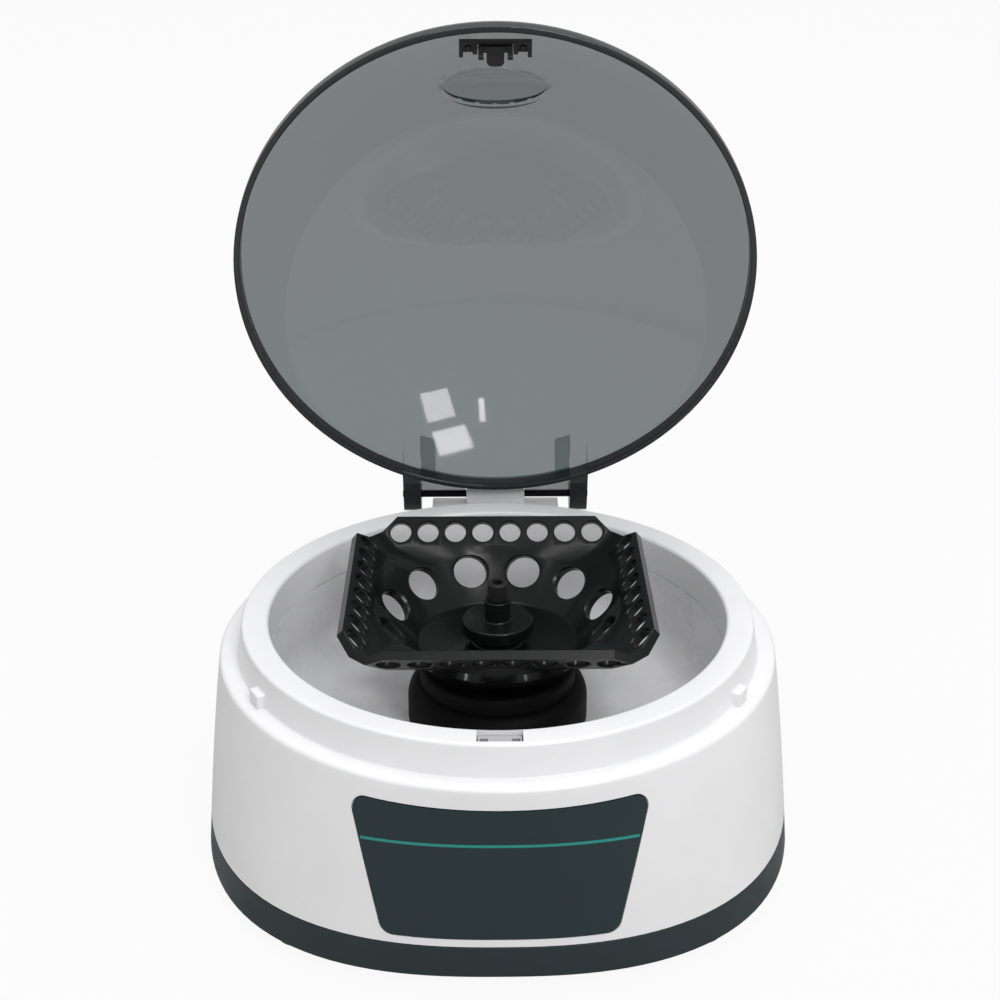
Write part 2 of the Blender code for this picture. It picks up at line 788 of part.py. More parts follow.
def panel_piece(name, grow, inner, outer, material=None):
    """A curved slab that follows the front wall between two offsets."""
    low, high = PANEL_LOW_Z - 2 * GAP, PANEL_TOP_Z + 2 * GAP
    outside = body_sections(outer, low, high)
    inside = body_sections(inner, low, high)
    slab = loft(name, outside + list(reversed(inside)), material)
    front = prism(
        name + "_outline", panel_outline(grow), -BASE_HALF - 2 * OVERRUN,
        -BASE_HALF / 2, "Y",
    )
    return common(slab, front)


def build_base_tray():
    """Slate tray that closes the case from below, with pillars for the screws."""
    floor_half = BASE_HALF - TRAY_EDGE
    top_half, top_power = body_half(TRAY_TOP_Z), body_power(TRAY_TOP_Z)
    sections = [
        (floor_half, BASE_POWER, 0),
        (body_half(TRAY_EDGE), BASE_POWER, TRAY_EDGE),
        (top_half, top_power, TRAY_TOP_Z),
        (top_half - WALL, top_power, TRAY_TOP_Z),
        (BASE_HALF - WALL, BASE_POWER, TRAY_FLOOR),
    ]
    tray = loft("base_tray", sections, SLATE, closed=False)
    seat = TRAY_FLOOR - GAP
    case_places = corners_of(CASE_SCREW_AT, CASE_SCREW_AT)
    bowl_places = corners_of(BOWL_POST_AT, BOWL_POST_AT)
    join(tray, upright_rods("case_pillars", case_places, seat, TRAY_TOP_Z, CASE_PILLAR_R))
    join(tray, upright_rods("bowl_pillars", bowl_places, seat, BOWL_PILLAR_TOP_Z, CASE_PILLAR_R))
    join(tray, upright_rods(
        "isolator_pillars", isolator_places(), seat, ISOLATOR_LOW_Z - GAP, ISOLATOR_PILLAR_R,
    ))
    join(tray, board_pillars(seat))
    cut(tray, upright_rods(
        "screw_wells", case_places, -OVERRUN, CASE_HEAD_SUNK + CASE_HEAD_TALL + GAP,
        CASE_HEAD_R + GAP,
    ))
    cut(tray, upright_rods(
        "screw_ways", case_places, -OVERRUN, TRAY_TOP_Z + OVERRUN,
        CASE_SCREW_R + GAP, None, HOLE_STEPS,
    ))
    cut(tray, upright_rods(
        "bowl_peg_holes", bowl_places, BOWL_PEG_LOW_Z - GAP, BOWL_PILLAR_TOP_Z + OVERRUN,
        BOWL_PEG_R + GAP, None, HOLE_STEPS,
    ))
    cut(tray, upright_rods(
        "board_screw_holes", board_hole_places()[::2], BOARD_SCREW_TIP_Z - GAP,
        BOARD_LOW_Z + OVERRUN, BOARD_SCREW_R + GAP, None, HOLE_STEPS,
    ))
    cut(tray, upright_rods(
        "isolator_screw_ways", isolator_places(), TRAY_FLOOR, ISOLATOR_LOW_Z + OVERRUN,
        ISOLATOR_SCREW_R + GAP, None, HOLE_STEPS,
    ))
    cut(tray, upright_rods(
        "foot_holes", corners_of(FOOT_X, FOOT_Y), -OVERRUN, TRAY_FLOOR + OVERRUN,
        FOOT_STEM_R + GAP,
    ))
    cut(tray, vent_slots())
    return tray


def vent_slots():
    """Cooling slots through the tray's floor."""
    first = -VENT_PITCH * (VENT_COUNT - 1) / 2
    corners = []
    for k in range(VENT_COUNT):
        x = first + k * VENT_PITCH
        corners.append((
            (x - VENT_WIDE / 2, VENT_Y - VENT_LONG / 2, -OVERRUN),
            (x + VENT_WIDE / 2, VENT_Y + VENT_LONG / 2, TRAY_FLOOR + OVERRUN),
        ))
    return boxes("vent_slots", corners)


def build_feet():
    """Four rubber feet, each held by a barb above the tray's floor."""
    barb_low = TRAY_FLOOR + GAP
    profile = [
        (0, barb_low + FOOT_BARB_TALL),
        (FOOT_STEM_R, barb_low + FOOT_BARB_TALL),
        (FOOT_BARB_R, barb_low),
        (FOOT_STEM_R, barb_low),
        (FOOT_STEM_R, -GAP),
        (FOOT_R, -GAP),
        (FOOT_R, FOOT_EDGE - FOOT_PROUD),
        (FOOT_R - FOOT_EDGE, -FOOT_PROUD),
        (0, -FOOT_PROUD),
    ]
    for name, x, y in (
        ("foot_front_left", -FOOT_X, -FOOT_Y),
        ("foot_front_right", FOOT_X, -FOOT_Y),
        ("foot_rear_left", -FOOT_X, FOOT_Y),
        ("foot_rear_right", FOOT_X, FOOT_Y),
    ):
        turned(name, profile, RUBBER, closed=False, steps=SMALL_STEPS, at=(x, y, 0))


def build_case_screws():
    """Four case screws, driven from below."""
    head = (CASE_HEAD_SUNK, CASE_HEAD_SUNK + CASE_HEAD_TALL, CASE_HEAD_R)
    for k, spot in enumerate(corners_of(CASE_SCREW_AT, CASE_SCREW_AT)):
        screw(f"case_screw_{k + 1}", spot, head, CASE_SCREW_TIP_Z, CASE_SCREW_R)


def bend(centre_r, centre_z, radius, start, end, steps):
    """Points of an arc in a turned profile."""
    points = []
    for k in range(steps + 1):
        angle = start + (end - start) * k / steps
        points.append((centre_r + radius * math.cos(angle), centre_z + radius * math.sin(angle)))
    return points


def build_chamber_bowl():
    """Pale bowl under the ring, with a hole for the motor and posts for its screws."""
    top = LIP_BOTTOM_Z - GAP
    bend_r = RING_INNER_R - BOWL_BEND_R
    bend_z = BOWL_FLOOR_Z + BOWL_BEND_R
    outer = bend(bend_r, bend_z, BOWL_BEND_R + WALL, 0, -PI / 2, BOWL_BEND_STEPS)
    inner = bend(bend_r, bend_z, BOWL_BEND_R, -PI / 2, 0, BOWL_BEND_STEPS)
    profile = [(RING_INNER_R + WALL, top)] + outer
    profile += [(BOWL_HOLE_R, BOWL_FLOOR_Z - WALL), (BOWL_HOLE_R, BOWL_FLOOR_Z)]
    profile += inner + [(RING_INNER_R, top)]
    bowl = turned("chamber_bowl", profile, PALE)
    places = corners_of(BOWL_POST_AT, BOWL_POST_AT)
    low = BOWL_PILLAR_TOP_Z + GAP
    join(bowl, upright_rods(
        "bowl_posts", places, low, BOWL_FLOOR_Z - WALL / 2, BOWL_POST_R,
    ))
    join(bowl, upright_rods(
        "bowl_pegs", places, BOWL_PEG_LOW_Z, low + WALL, BOWL_PEG_R, None, HOLE_STEPS,
    ))
    return bowl


def build_latch_receiver():
    """Grey insert in the ring, with a hole for each prong of the latch."""
    hole_inner = LATCH_POST_INNER_X - GAP
    hole_outer = LATCH_BARREL_HALF + GAP
    reach = (LATCH_PIVOT_Z - LATCH_POST_TIP_Z) * math.sin(LATCH_SWING)
    front = LATCH_POST_FRONT_Y - reach - GAP
    rear = LATCH_POST_REAR_Y + GAP
    receiver = box(
        "latch_receiver", (GAP - SLOT_HALF, SLOT_FRONT_Y + GAP, RECEIVER_LOW_Z),
        (SLOT_HALF - GAP, SLOT_REAR_Y - GAP, RECEIVER_TOP_Z), GREY,
    )
    holes = [
        (
            (min(side * hole_inner, side * hole_outer), front, RECEIVER_LOW_Z - OVERRUN),
            (max(side * hole_inner, side * hole_outer), rear, RECEIVER_TOP_Z + OVERRUN),
        )
        for side in (-1, 1)
    ]
    return cut(receiver, boxes("receiver_holes", holes))


def build_rear_panel():
    """White recessed panel that fills the notch at the rear of the housing."""
    low = TRAY_TOP_Z + GAP
    panel = box(
        "rear_panel", (-REAR_HALF, REAR_INSIDE_Y, low),
        (REAR_HALF, BASE_HALF + OVERRUN, REAR_TOP_Z), WHITE,
    )
    cut(panel, box(
        "rear_recess", (REAR_RIM - REAR_HALF, REAR_FACE_Y, low + REAR_RIM),
        (REAR_HALF - REAR_RIM, BASE_HALF + 2 * OVERRUN, REAR_TOP_Z - REAR_RIM),
    ))
    hole_x, hole_z = ROCKER_HOLE_HALF
    cut(panel, box(
        "rocker_hole", (ROCKER_X - hole_x - GAP, REAR_INSIDE_Y - OVERRUN, REAR_FIXTURE_Z - hole_z - GAP),
        (ROCKER_X + hole_x + GAP, REAR_FACE_Y + OVERRUN, REAR_FIXTURE_Z + hole_z + GAP),
    ))
    cut(panel, rod(
        "jack_hole", (JACK_X, REAR_INSIDE_Y - OVERRUN, REAR_FIXTURE_Z),
        (JACK_X, REAR_FACE_Y + OVERRUN, REAR_FIXTURE_Z), JACK_R + GAP,
    ))
    trim = loft("rear_trim", body_sections(-GAP, 0, SHELF_Z), None, closed=False)
    return common(panel, trim)


def build_power_jack():
    """Round low-voltage jack: body, centre pin and the nut behind the panel."""
    face = REAR_FACE_Y + GAP
    mouth = face + JACK_FLANGE
    jack = rod(
        "power_jack", (JACK_X, face, REAR_FIXTURE_Z), (JACK_X, mouth, REAR_FIXTURE_Z),
        JACK_FLANGE_R, MATT, MID_STEPS,
    )
    back = face - JACK_LONG
    join(jack, rod(
        "jack_barrel", (JACK_X, back, REAR_FIXTURE_Z), (JACK_X, face + GAP, REAR_FIXTURE_Z), JACK_R,
    ))
    floor = mouth - JACK_BORE_DEEP
    cut(jack, rod(
        "jack_bore", (JACK_X, floor, REAR_FIXTURE_Z), (JACK_X, mouth + OVERRUN, REAR_FIXTURE_Z),
        JACK_BORE_R,
    ))
    rod(
        "jack_pin", (JACK_X, floor + GAP, REAR_FIXTURE_Z),
        (JACK_X, floor + GAP + JACK_PIN_LONG, REAR_FIXTURE_Z), JACK_PIN_R, STEEL, HOLE_STEPS,
    )
    nut_face = REAR_INSIDE_Y - GAP
    nut = rod(
        "jack_nut", (JACK_X, nut_face - JACK_NUT_THICK, REAR_FIXTURE_Z),
        (JACK_X, nut_face, REAR_FIXTURE_Z), JACK_NUT_R, PLATED, HEX,
    )
    cut(nut, rod(
        "jack_nut_bore", (JACK_X, nut_face - OVERRUN, REAR_FIXTURE_Z),
        (JACK_X, nut_face + OVERRUN, REAR_FIXTURE_Z), JACK_R + GAP,
    ))


def rocker_box(name, half, near, far, material=None):
    half_x, half_z = half
    return box(
        name, (ROCKER_X - half_x, near, REAR_FIXTURE_Z - half_z),
        (ROCKER_X + half_x, far, REAR_FIXTURE_Z + half_z), material,
    )


def build_rocker():
    """Rocker switch: its frame in the panel, and the rocker that tips in it."""
    face = REAR_FACE_Y + GAP
    front = face + ROCKER_FLANGE
    back = face - ROCKER_DEEP
    frame = rocker_box("rocker_frame", ROCKER_FRAME_HALF, face, front, MATT)
    join(frame, rocker_box("rocker_frame_body", ROCKER_HOLE_HALF, back, face + GAP))
    cut(frame, rocker_box("rocker_well", ROCKER_OPEN_HALF, back + ROCKER_WALL, front + OVERRUN))
    pivot = (ROCKER_X, front - ROCKER_THICK, REAR_FIXTURE_Z)
    empty = axis_empty("power_rocker_axis", pivot)
    half_x, half_z = ROCKER_HALF
    outline = rocker_outline(front, half_x)
    rocker = prism(
        "power_rocker", outline, REAR_FIXTURE_Z - half_z, REAR_FIXTURE_Z + half_z, "Z", BLACK,
    )
    ride(rocker, empty, pivot)
    empty.rotation_euler.z = ROCKER_TILT


def rocker_outline(front, half_x):
    """Section of the rocker: two faces that meet in a shallow valley."""
    tip = front + ROCKER_PROUD
    middle = front + ROCKER_PROUD / 2
    base = front - ROCKER_THICK / 2
    return [
        (ROCKER_X - half_x, tip), (ROCKER_X, middle), (ROCKER_X + half_x, tip),
        (ROCKER_X + half_x, base), (ROCKER_X + half_x / 2, base - ROCKER_THICK / 2),
        (ROCKER_X - half_x / 2, base - ROCKER_THICK / 2), (ROCKER_X - half_x, base),
    ]


def hinge_screw_holes(name):
    """Cutter for the ways of the two hinge screws."""
    ends = [
        ((x, HINGE_SCREW_TIP_Y - OVERRUN, HINGE_SCREW_Z),
         (x, HINGE_BLOCK_REAR_Y + OVERRUN, HINGE_SCREW_Z))
        for x in (-HINGE_SCREW_X, HINGE_SCREW_X)
    ]
    return rods(name, ends, CASE_SCREW_R + GAP, None, HOLE_STEPS)


def build_hinge_block():
    """White block on the rear of the housing, with the tongue that holds the pin."""
    slope = HINGE_BLOCK_REAR_Y - HINGE_Y
    outline = [
        (HINGE_BLOCK_INNER_Y, HINGE_BLOCK_LOW_Z),
        (HINGE_Y - slope / 2, HINGE_BLOCK_LOW_Z),
        (HINGE_BLOCK_REAR_Y, HINGE_BLOCK_LOW_Z + 2 * slope),
        (HINGE_BLOCK_REAR_Y, HINGE_BLOCK_TOP_Z - slope / 2),
        (HINGE_BLOCK_REAR_Y - slope / 2, HINGE_BLOCK_TOP_Z),
        (HINGE_BLOCK_INNER_Y, HINGE_BLOCK_TOP_Z),
    ]
    block = prism("hinge_block", outline, -HINGE_BLOCK_HALF, HINGE_BLOCK_HALF, "X", WHITE)
    join(block, rod(
        "hinge_tongue", (-HINGE_TONGUE_HALF, HINGE_Y, HINGE_Z), (HINGE_TONGUE_HALF, HINGE_Y, HINGE_Z),
        HINGE_TONGUE_R,
    ))
    cut(block, loft("hinge_seat", body_sections(GAP, 0, SHELF_Z + GAP) + [
        (LID_R + 2 * GAP, ROUND_POWER, SHELF_Z + 2 * GAP),
        (LID_R + 2 * GAP, ROUND_POWER, HINGE_Z + OVERRUN),
    ], None, closed=False))
    cut(block, rod(
        "hinge_bore", (-HINGE_PIN_HALF, HINGE_Y, HINGE_Z), (HINGE_PIN_HALF, HINGE_Y, HINGE_Z),
        HINGE_PIN_R + GAP, None, HOLE_STEPS,
    ))
    cut(block, hinge_screw_holes("hinge_block_ways"))
    wells = [
        ((side * HINGE_SCREW_X, HINGE_BLOCK_REAR_Y - HINGE_SCREW_HEAD - 2 * GAP, HINGE_SCREW_Z),
         (side * HINGE_SCREW_X, HINGE_BLOCK_REAR_Y + OVERRUN, HINGE_SCREW_Z))
        for side in (-1, 1)
    ]
    cut(block, rods("hinge_screw_wells", wells, HINGE_SCREW_HEAD_R + GAP))
    rod(
        "hinge_pin", (-HINGE_PIN_HALF, HINGE_Y, HINGE_Z), (HINGE_PIN_HALF, HINGE_Y, HINGE_Z),
        HINGE_PIN_R, STEEL, HOLE_STEPS,
    )
    head_y = HINGE_BLOCK_REAR_Y - GAP
    head = (0, HINGE_SCREW_HEAD, HINGE_SCREW_HEAD_R)
    for name, x in (("hinge_screw_left", -HINGE_SCREW_X), ("hinge_screw_right", HINGE_SCREW_X)):
        item = screw(name, (x, head_y), head, head_y - HINGE_SCREW_TIP_Y, CASE_SCREW_R)
        item.location.z = HINGE_SCREW_Z
        item.rotation_euler.x = PI / 2


def isolator_places():
    """Places of the isolators, one of them at the front."""
    places = []
    for k in range(ISOLATOR_COUNT):
        x, y, _ = polar(ISOLATOR_RING_R, 2 * PI * k / ISOLATOR_COUNT - PI / 2, 0)
        places.append((x, y))
    return places


def motor_screw_places():
    places = []
    for k in range(MOTOR_SCREW_COUNT):
        angle = MOTOR_SCREW_TURN + 2 * PI * k / MOTOR_SCREW_COUNT
        x, y, _ = polar(MOTOR_SCREW_RING_R, angle, 0)
        places.append((x, y))
    return places


def build_motor_mount():
    """Steel plate on three rubber isolators, each held by a screw."""
    top = PLATE_LOW_Z + PLATE_THICK
    plate = turned("motor_mount_plate", [
        (PLATE_R, top), (PLATE_R, PLATE_LOW_Z), (PLATE_HOLE_R, PLATE_LOW_Z), (PLATE_HOLE_R, top),
    ], PLATED, steps=MID_STEPS)
    holes = [(spot, ISOLATOR_NECK_R + GAP) for spot in isolator_places()]
    holes += [(spot, MOTOR_SCREW_R + GAP) for spot in motor_screw_places()]
    cut(plate, drills("plate_holes", holes, PLATE_LOW_Z - OVERRUN, top + OVERRUN))
    build_isolators(top)
    head_top = PLATE_LOW_Z - GAP
    head = (head_top - MOTOR_SCREW_HEAD, head_top, MOTOR_SCREW_HEAD_R)
    for k, spot in enumerate(motor_screw_places()):
        screw(f"motor_screw_{k + 1}", spot, head, head_top + MOTOR_SCREW_LONG, MOTOR_SCREW_R)


def build_isolators(plate_top):
    """Rubber bobbins whose groove holds the plate, each with its screw."""
    profile = [
        (ISOLATOR_R, ISOLATOR_TOP_Z), (ISOLATOR_R, plate_top + GAP),
        (ISOLATOR_NECK_R, plate_top + GAP), (ISOLATOR_NECK_R, PLATE_LOW_Z - GAP),
        (ISOLATOR_R, PLATE_LOW_Z - GAP), (ISOLATOR_R, ISOLATOR_LOW_Z),
        (ISOLATOR_BORE_R, ISOLATOR_LOW_Z), (ISOLATOR_BORE_R, ISOLATOR_TOP_Z),
    ]
    head_low = ISOLATOR_TOP_Z + GAP
    head = (head_low, head_low + ISOLATOR_HEAD, ISOLATOR_HEAD_R)
    for k, spot in enumerate(isolator_places()):
        turned(f"motor_isolator_{k + 1}", profile, RUBBER, steps=SMALL_STEPS, at=(*spot, 0))
        screw(f"isolator_screw_{k + 1}", spot, head, TRAY_FLOOR + GAP, ISOLATOR_SCREW_R)


def bearing(name, low):
    """Ball bearing, drawn as one ring with a groove in each face."""
    high = low + BEARING_TALL
    inner = BEARING_BORE_R + BEARING_GROOVE_R_shares[0] * (BEARING_R - BEARING_BORE_R)
    outer = BEARING_BORE_R + BEARING_GROOVE_R_shares[1] * (BEARING_R - BEARING_BORE_R)
    deep = BEARING_GROOVE
    turned(name, [
        (inner, high), (inner, high - deep), (outer, high - deep), (outer, high), (BEARING_R, high),
        (BEARING_R, low), (outer, low), (outer, low + deep), (inner, low + deep), (inner, low),
        (BEARING_BORE_R, low), (BEARING_BORE_R, high),
    ], STEEL, steps=BEARING_STEPS)


def build_motor():
    """Motor can with its end cap, bearings, stator and coils."""
    inside = CAN_R - CAN_WALL
    roof = CAN_TOP_Z - CAN_WALL
    seat = BEARING_R + GAP
    seat_out = seat + BEARING_SEAT_WALL
    seat_low = roof - BEARING_TALL - GAP
    turned("motor_can", [
        (CAN_R - GAP, CAN_TOP_Z), (CAN_R, CAN_TOP_Z - GAP), (CAN_R, CAN_LOW_Z), (inside, CAN_LOW_Z),
        (inside, roof), (seat_out, roof), (seat_out, seat_low), (seat, seat_low),
        (seat, roof + GAP), (BEARING_LIP_R, roof + GAP), (BEARING_LIP_R, CAN_TOP_Z),
    ], PLATED, steps=MID_STEPS)
    bearing("bearing_upper", roof - BEARING_TALL)
    cap_top = CAP_LOW_Z + CAP_RIM
    spigot = inside - GAP
    spigot_in = spigot - CAP_SPIGOT_WALL
    cup_top = cap_top + GAP + BEARING_TALL
    cap = turned("motor_end_cap", [
        (0, cap_top), (seat, cap_top), (seat, cup_top), (seat_out, cup_top),
        (seat_out, cap_top), (spigot_in, cap_top), (spigot_in, cap_top + CAP_SPIGOT),
        (spigot, cap_top + CAP_SPIGOT), (spigot, cap_top), (CAN_R, cap_top), (CAN_R, CAP_LOW_Z),
        (0, CAP_LOW_Z),
    ], PLATED, closed=False, steps=MID_STEPS)
    cut(cap, upright_rods(
        "cap_screw_holes", motor_screw_places(), CAP_LOW_Z - OVERRUN, cap_top + OVERRUN,
        MOTOR_SCREW_R + GAP, None, HOLE_STEPS,
    ))
    bearing("bearing_lower", cap_top + GAP)
    build_stator(inside)


def build_stator(inside):
    """Iron ring inside the can, wound with six coils round the magnet."""
    top = STATOR_LOW_Z + STATOR_TALL
    iron = inside - GAP
    stator = turned("motor_stator", [
        (iron, top), (iron, STATOR_LOW_Z), (STATOR_IRON_R, STATOR_LOW_Z), (STATOR_IRON_R, top),
    ], COPPER, steps=MID_STEPS)
    shape = bmesh.new()
    out = (STATOR_IRON_R + iron) / 2
    size = (out - COIL_IN_R, COIL_WIDE, STATOR_TALL - 2 * GAP)
    for k in range(COIL_COUNT):
        angle = 2 * PI * k / COIL_COUNT
        made = bmesh.ops.create_cube(shape, size=1)["verts"]
        bmesh.ops.scale(shape, vec=size, verts=made)
        spot = Vector(polar((out + COIL_IN_R) / 2, angle, STATOR_LOW_Z + STATOR_TALL / 2))
        turn = Matrix.Rotation(angle, 4, "Z")
        bmesh.ops.transform(shape, matrix=Matrix.Translation(spot) @ turn, verts=made)
    join(stator, place("stator_coils", mesh_from("stator_coils", shape), None, (0, 0, 0), True))


def build_motor_boot():
    """Black rubber boot that seals the motor to the chamber's floor."""
    low = BOWL_FLOOR_Z + GAP
    inside = CAN_R + GAP
    ceiling = BOOT_TOP_Z - BOOT_ROOF
    rise = BOOT_SHOULDER_Z - BOOT_FLANGE_TOP_Z
    width = BOOT_FLANGE_R - BOOT_UPPER_R
    shoulder = []
    for k in range(BOOT_SHOULDER_STEPS + 1):
        angle = PI / 2 * (1 - k / BOOT_SHOULDER_STEPS)
        shoulder.append((
            BOOT_UPPER_R + width * math.cos(angle), BOOT_FLANGE_TOP_Z + rise * math.sin(angle),
        ))
    profile = [(BOOT_UPPER_R - BOOT_ROUND, BOOT_TOP_Z), (BOOT_UPPER_R, BOOT_TOP_Z - BOOT_ROUND)]
    profile += shoulder
    profile += [
        (BOOT_FLANGE_R, low), (inside, low), (inside, ceiling), (BOOT_HOLE_R, ceiling),
        (BOOT_HOLE_R, BOOT_TOP_Z),
    ]
    turned("motor_boot", profile, RUBBER)


def build_spindle():
    """Drive spindle with the collar that the rotor sits on, and the magnet below."""
    origin = (0, 0, COLLAR_TOP_Z)
    empty = axis_empty("rotor_spin_axis", origin)
    hole = CLAMP_SCREW_R + GAP
    hole_low = CLAMP_TIP_Z - 2 * GAP
    spindle = turned("drive_spindle", [
        (0, hole_low), (hole, hole_low), (hole, NOSE_TOP_Z), (NOSE_R - GAP, NOSE_TOP_Z),
        (NOSE_R, NOSE_TOP_Z - GAP), (NOSE_R, COLLAR_TOP_Z), (COLLAR_R, COLLAR_TOP_Z),
        (COLLAR_R, COLLAR_LOW_Z), (SHAFT_R, COLLAR_LOW_Z), (SHAFT_R, SHAFT_LOW_Z), (0, SHAFT_LOW_Z),
    ], STEEL, closed=False, steps=MID_STEPS)
    ride(spindle, empty, origin)
    top = STATOR_LOW_Z + STATOR_TALL
    magnet = turned("motor_magnet", [
        (MAGNET_R - GAP, top), (MAGNET_R, top - GAP), (MAGNET_R, STATOR_LOW_Z),
        (SHAFT_R + GAP, STATOR_LOW_Z), (SHAFT_R + GAP, top),
    ], IRON, steps=MID_STEPS)
    ride(magnet, empty, origin)
    return empty, origin


def rotor_side(flat, tip, side):
    """One side of a rotor ring: along the flat edge, then two corner points."""
    (flat_half, flat_out, flat_z), (tip_half, tip_out, tip_z) = flat, tip
    points = []
    for k in range(ROTOR_SIDE_PARTS + 1):
        along = flat_half * (2 * k / ROTOR_SIDE_PARTS - 1)
        points.append((flat_out, along, flat_z))
    points.append((tip_out, tip_half, tip_z))
    points.append((tip_half, tip_out, tip_z))
    turn = Matrix.Rotation(side * PI / 2, 3, "Z")
    return [tuple(turn @ Vector(point)) for point in points]


def rotor_square_ring(flat, tip):
    ring = []
    for side in range(4):
        ring += rotor_side(flat, tip, side)
    return ring


def rotor_round_ring(radius, height, pattern):
    """A circle whose points lie at the same angles as those of a square ring."""
    ring = []
    for x, y, _ in pattern:
        ring.append(polar(radius, math.atan2(y, x), height))
    return ring


def rotor_rings():
    """Rings from the bore's top, out over the inside, and back under to the bore."""
    low_half = ROTOR_TOP_HALF - ROTOR_SLANT
    low_z = ROTOR_TOP_Z - ROTOR_SLANT
    tip_rise = ROTOR_TIP_shares * ROTOR_SLANT
    tip_out = low_half + tip_rise
    corner = (ROTOR_EDGE_HALF + low_half) / 2
    low_tip = (corner - (tip_out - ROTOR_TIP_HALF) / 2, corner + (tip_out - ROTOR_TIP_HALF) / 2)
    thick = ROTOR_FLANGE_THICK
    top_in = rotor_square_ring(
        (ROTOR_EDGE_HALF, ROTOR_TOP_HALF, ROTOR_TOP_Z), (ROTOR_TIP_HALF, tip_out, low_z + tip_rise),
    )
    top_out = rotor_square_ring(
        (ROTOR_EDGE_HALF, ROTOR_TOP_HALF + thick, ROTOR_TOP_Z - thick),
        (ROTOR_TIP_HALF + thick / 2, tip_out + thick, low_z + tip_rise - thick),
    )
    low_in = rotor_square_ring(
        (ROTOR_EDGE_HALF, low_half, low_z), (low_tip[0], low_tip[1], low_z),
    )
    low_out = rotor_square_ring(
        (ROTOR_EDGE_HALF, low_half + thick, low_z - thick),
        (low_tip[0] + thick / 2, low_tip[1] + thick / 2, low_z - thick),
    )
    cone_rise = ROTOR_CONE_TOP_R - ROTOR_CONE_LOW_R
    skin = ROTOR_SKIN
    rounds_in = [
        (NOSE_R + GAP, ROTOR_HUB_LOW_Z), (NOSE_R + GAP, ROTOR_HUB_TOP_Z),
        (ROTOR_HUB_R, ROTOR_HUB_TOP_Z), (ROTOR_HUB_R, ROTOR_FLOOR_Z),
        (ROTOR_CONE_LOW_R, ROTOR_FLOOR_Z), (ROTOR_CONE_TOP_R, ROTOR_FLOOR_Z + cone_rise),
    ]
    rounds_out = [
        (ROTOR_CONE_TOP_R, ROTOR_FLOOR_Z + cone_rise - skin * math.sqrt(2)),
        (ROTOR_CONE_LOW_R + skin * math.tan(CONE_TILT / 2), ROTOR_FLOOR_Z - skin),
        (ROTOR_HUB_OUTER_R, ROTOR_FLOOR_Z - skin), (ROTOR_HUB_OUTER_R, ROTOR_HUB_LOW_Z),
    ]
    rings = [rotor_round_ring(r, z, top_in) for r, z in rounds_in]
    rings += [low_in, top_in, top_out, low_out]
    rings += [rotor_round_ring(r, z, top_in) for r, z in rounds_out]
    return rings


def strip_hole_ends():
    """Through each flange, square to it."""
    half_slant = ROTOR_SLANT / 2
    out = ROTOR_TOP_HALF - half_slant
    height = ROTOR_TOP_Z - half_slant
    reach = OVERRUN * math.sqrt(0.5)
    first = -STRIP_PITCH * (STRIP_HOLES - 1) / 2
    ends = []
    for side in range(4):
        turn = Matrix.Rotation(side * PI / 2, 3, "Z")
        for k in range(STRIP_HOLES):
            along = first + k * STRIP_PITCH
            inner = turn @ Vector((out - reach, along, height + reach))
            outer = turn @ Vector((out + reach, along, height - reach))
            ends.append((inner, outer))
    return ends


def tube_hole_ends():
    """Through the cone, square to it."""
    height = ROTOR_FLOOR_Z + TUBE_RING_R - ROTOR_CONE_LOW_R
    reach = 2 * OVERRUN * math.sqrt(0.5)
    ends = []
    for k in range(TUBE_HOLES):
        angle = TUBE_TURN + 2 * PI * k / TUBE_HOLES
        ends.append((
            polar(TUBE_RING_R - reach, angle, height + reach),
            polar(TUBE_RING_R + reach, angle, height - reach),
        ))
    return ends


def build_rotor(spin_empty, spin_origin):
    """Black combination rotor for strips and single tubes."""
    origin = (0, 0, ROTOR_HUB_LOW_Z)
    empty = axis_empty("rotor_lift_axis", origin, spin_empty, spin_origin)
    shape = bmesh.new()
    skin_rings(shape, rotor_rings(), closed=True)
    rotor = place("combi_rotor", mesh_from("combi_rotor", shape), BLACK, (0, 0, 0))
    cut(rotor, rods("strip_holes", strip_hole_ends(), STRIP_HOLE_R, None, SMALL_STEPS))
    cut(rotor, rods("tube_holes", tube_hole_ends(), TUBE_HOLE_R, None, BEARING_STEPS))
    ride(rotor, empty, origin)
    return empty, origin


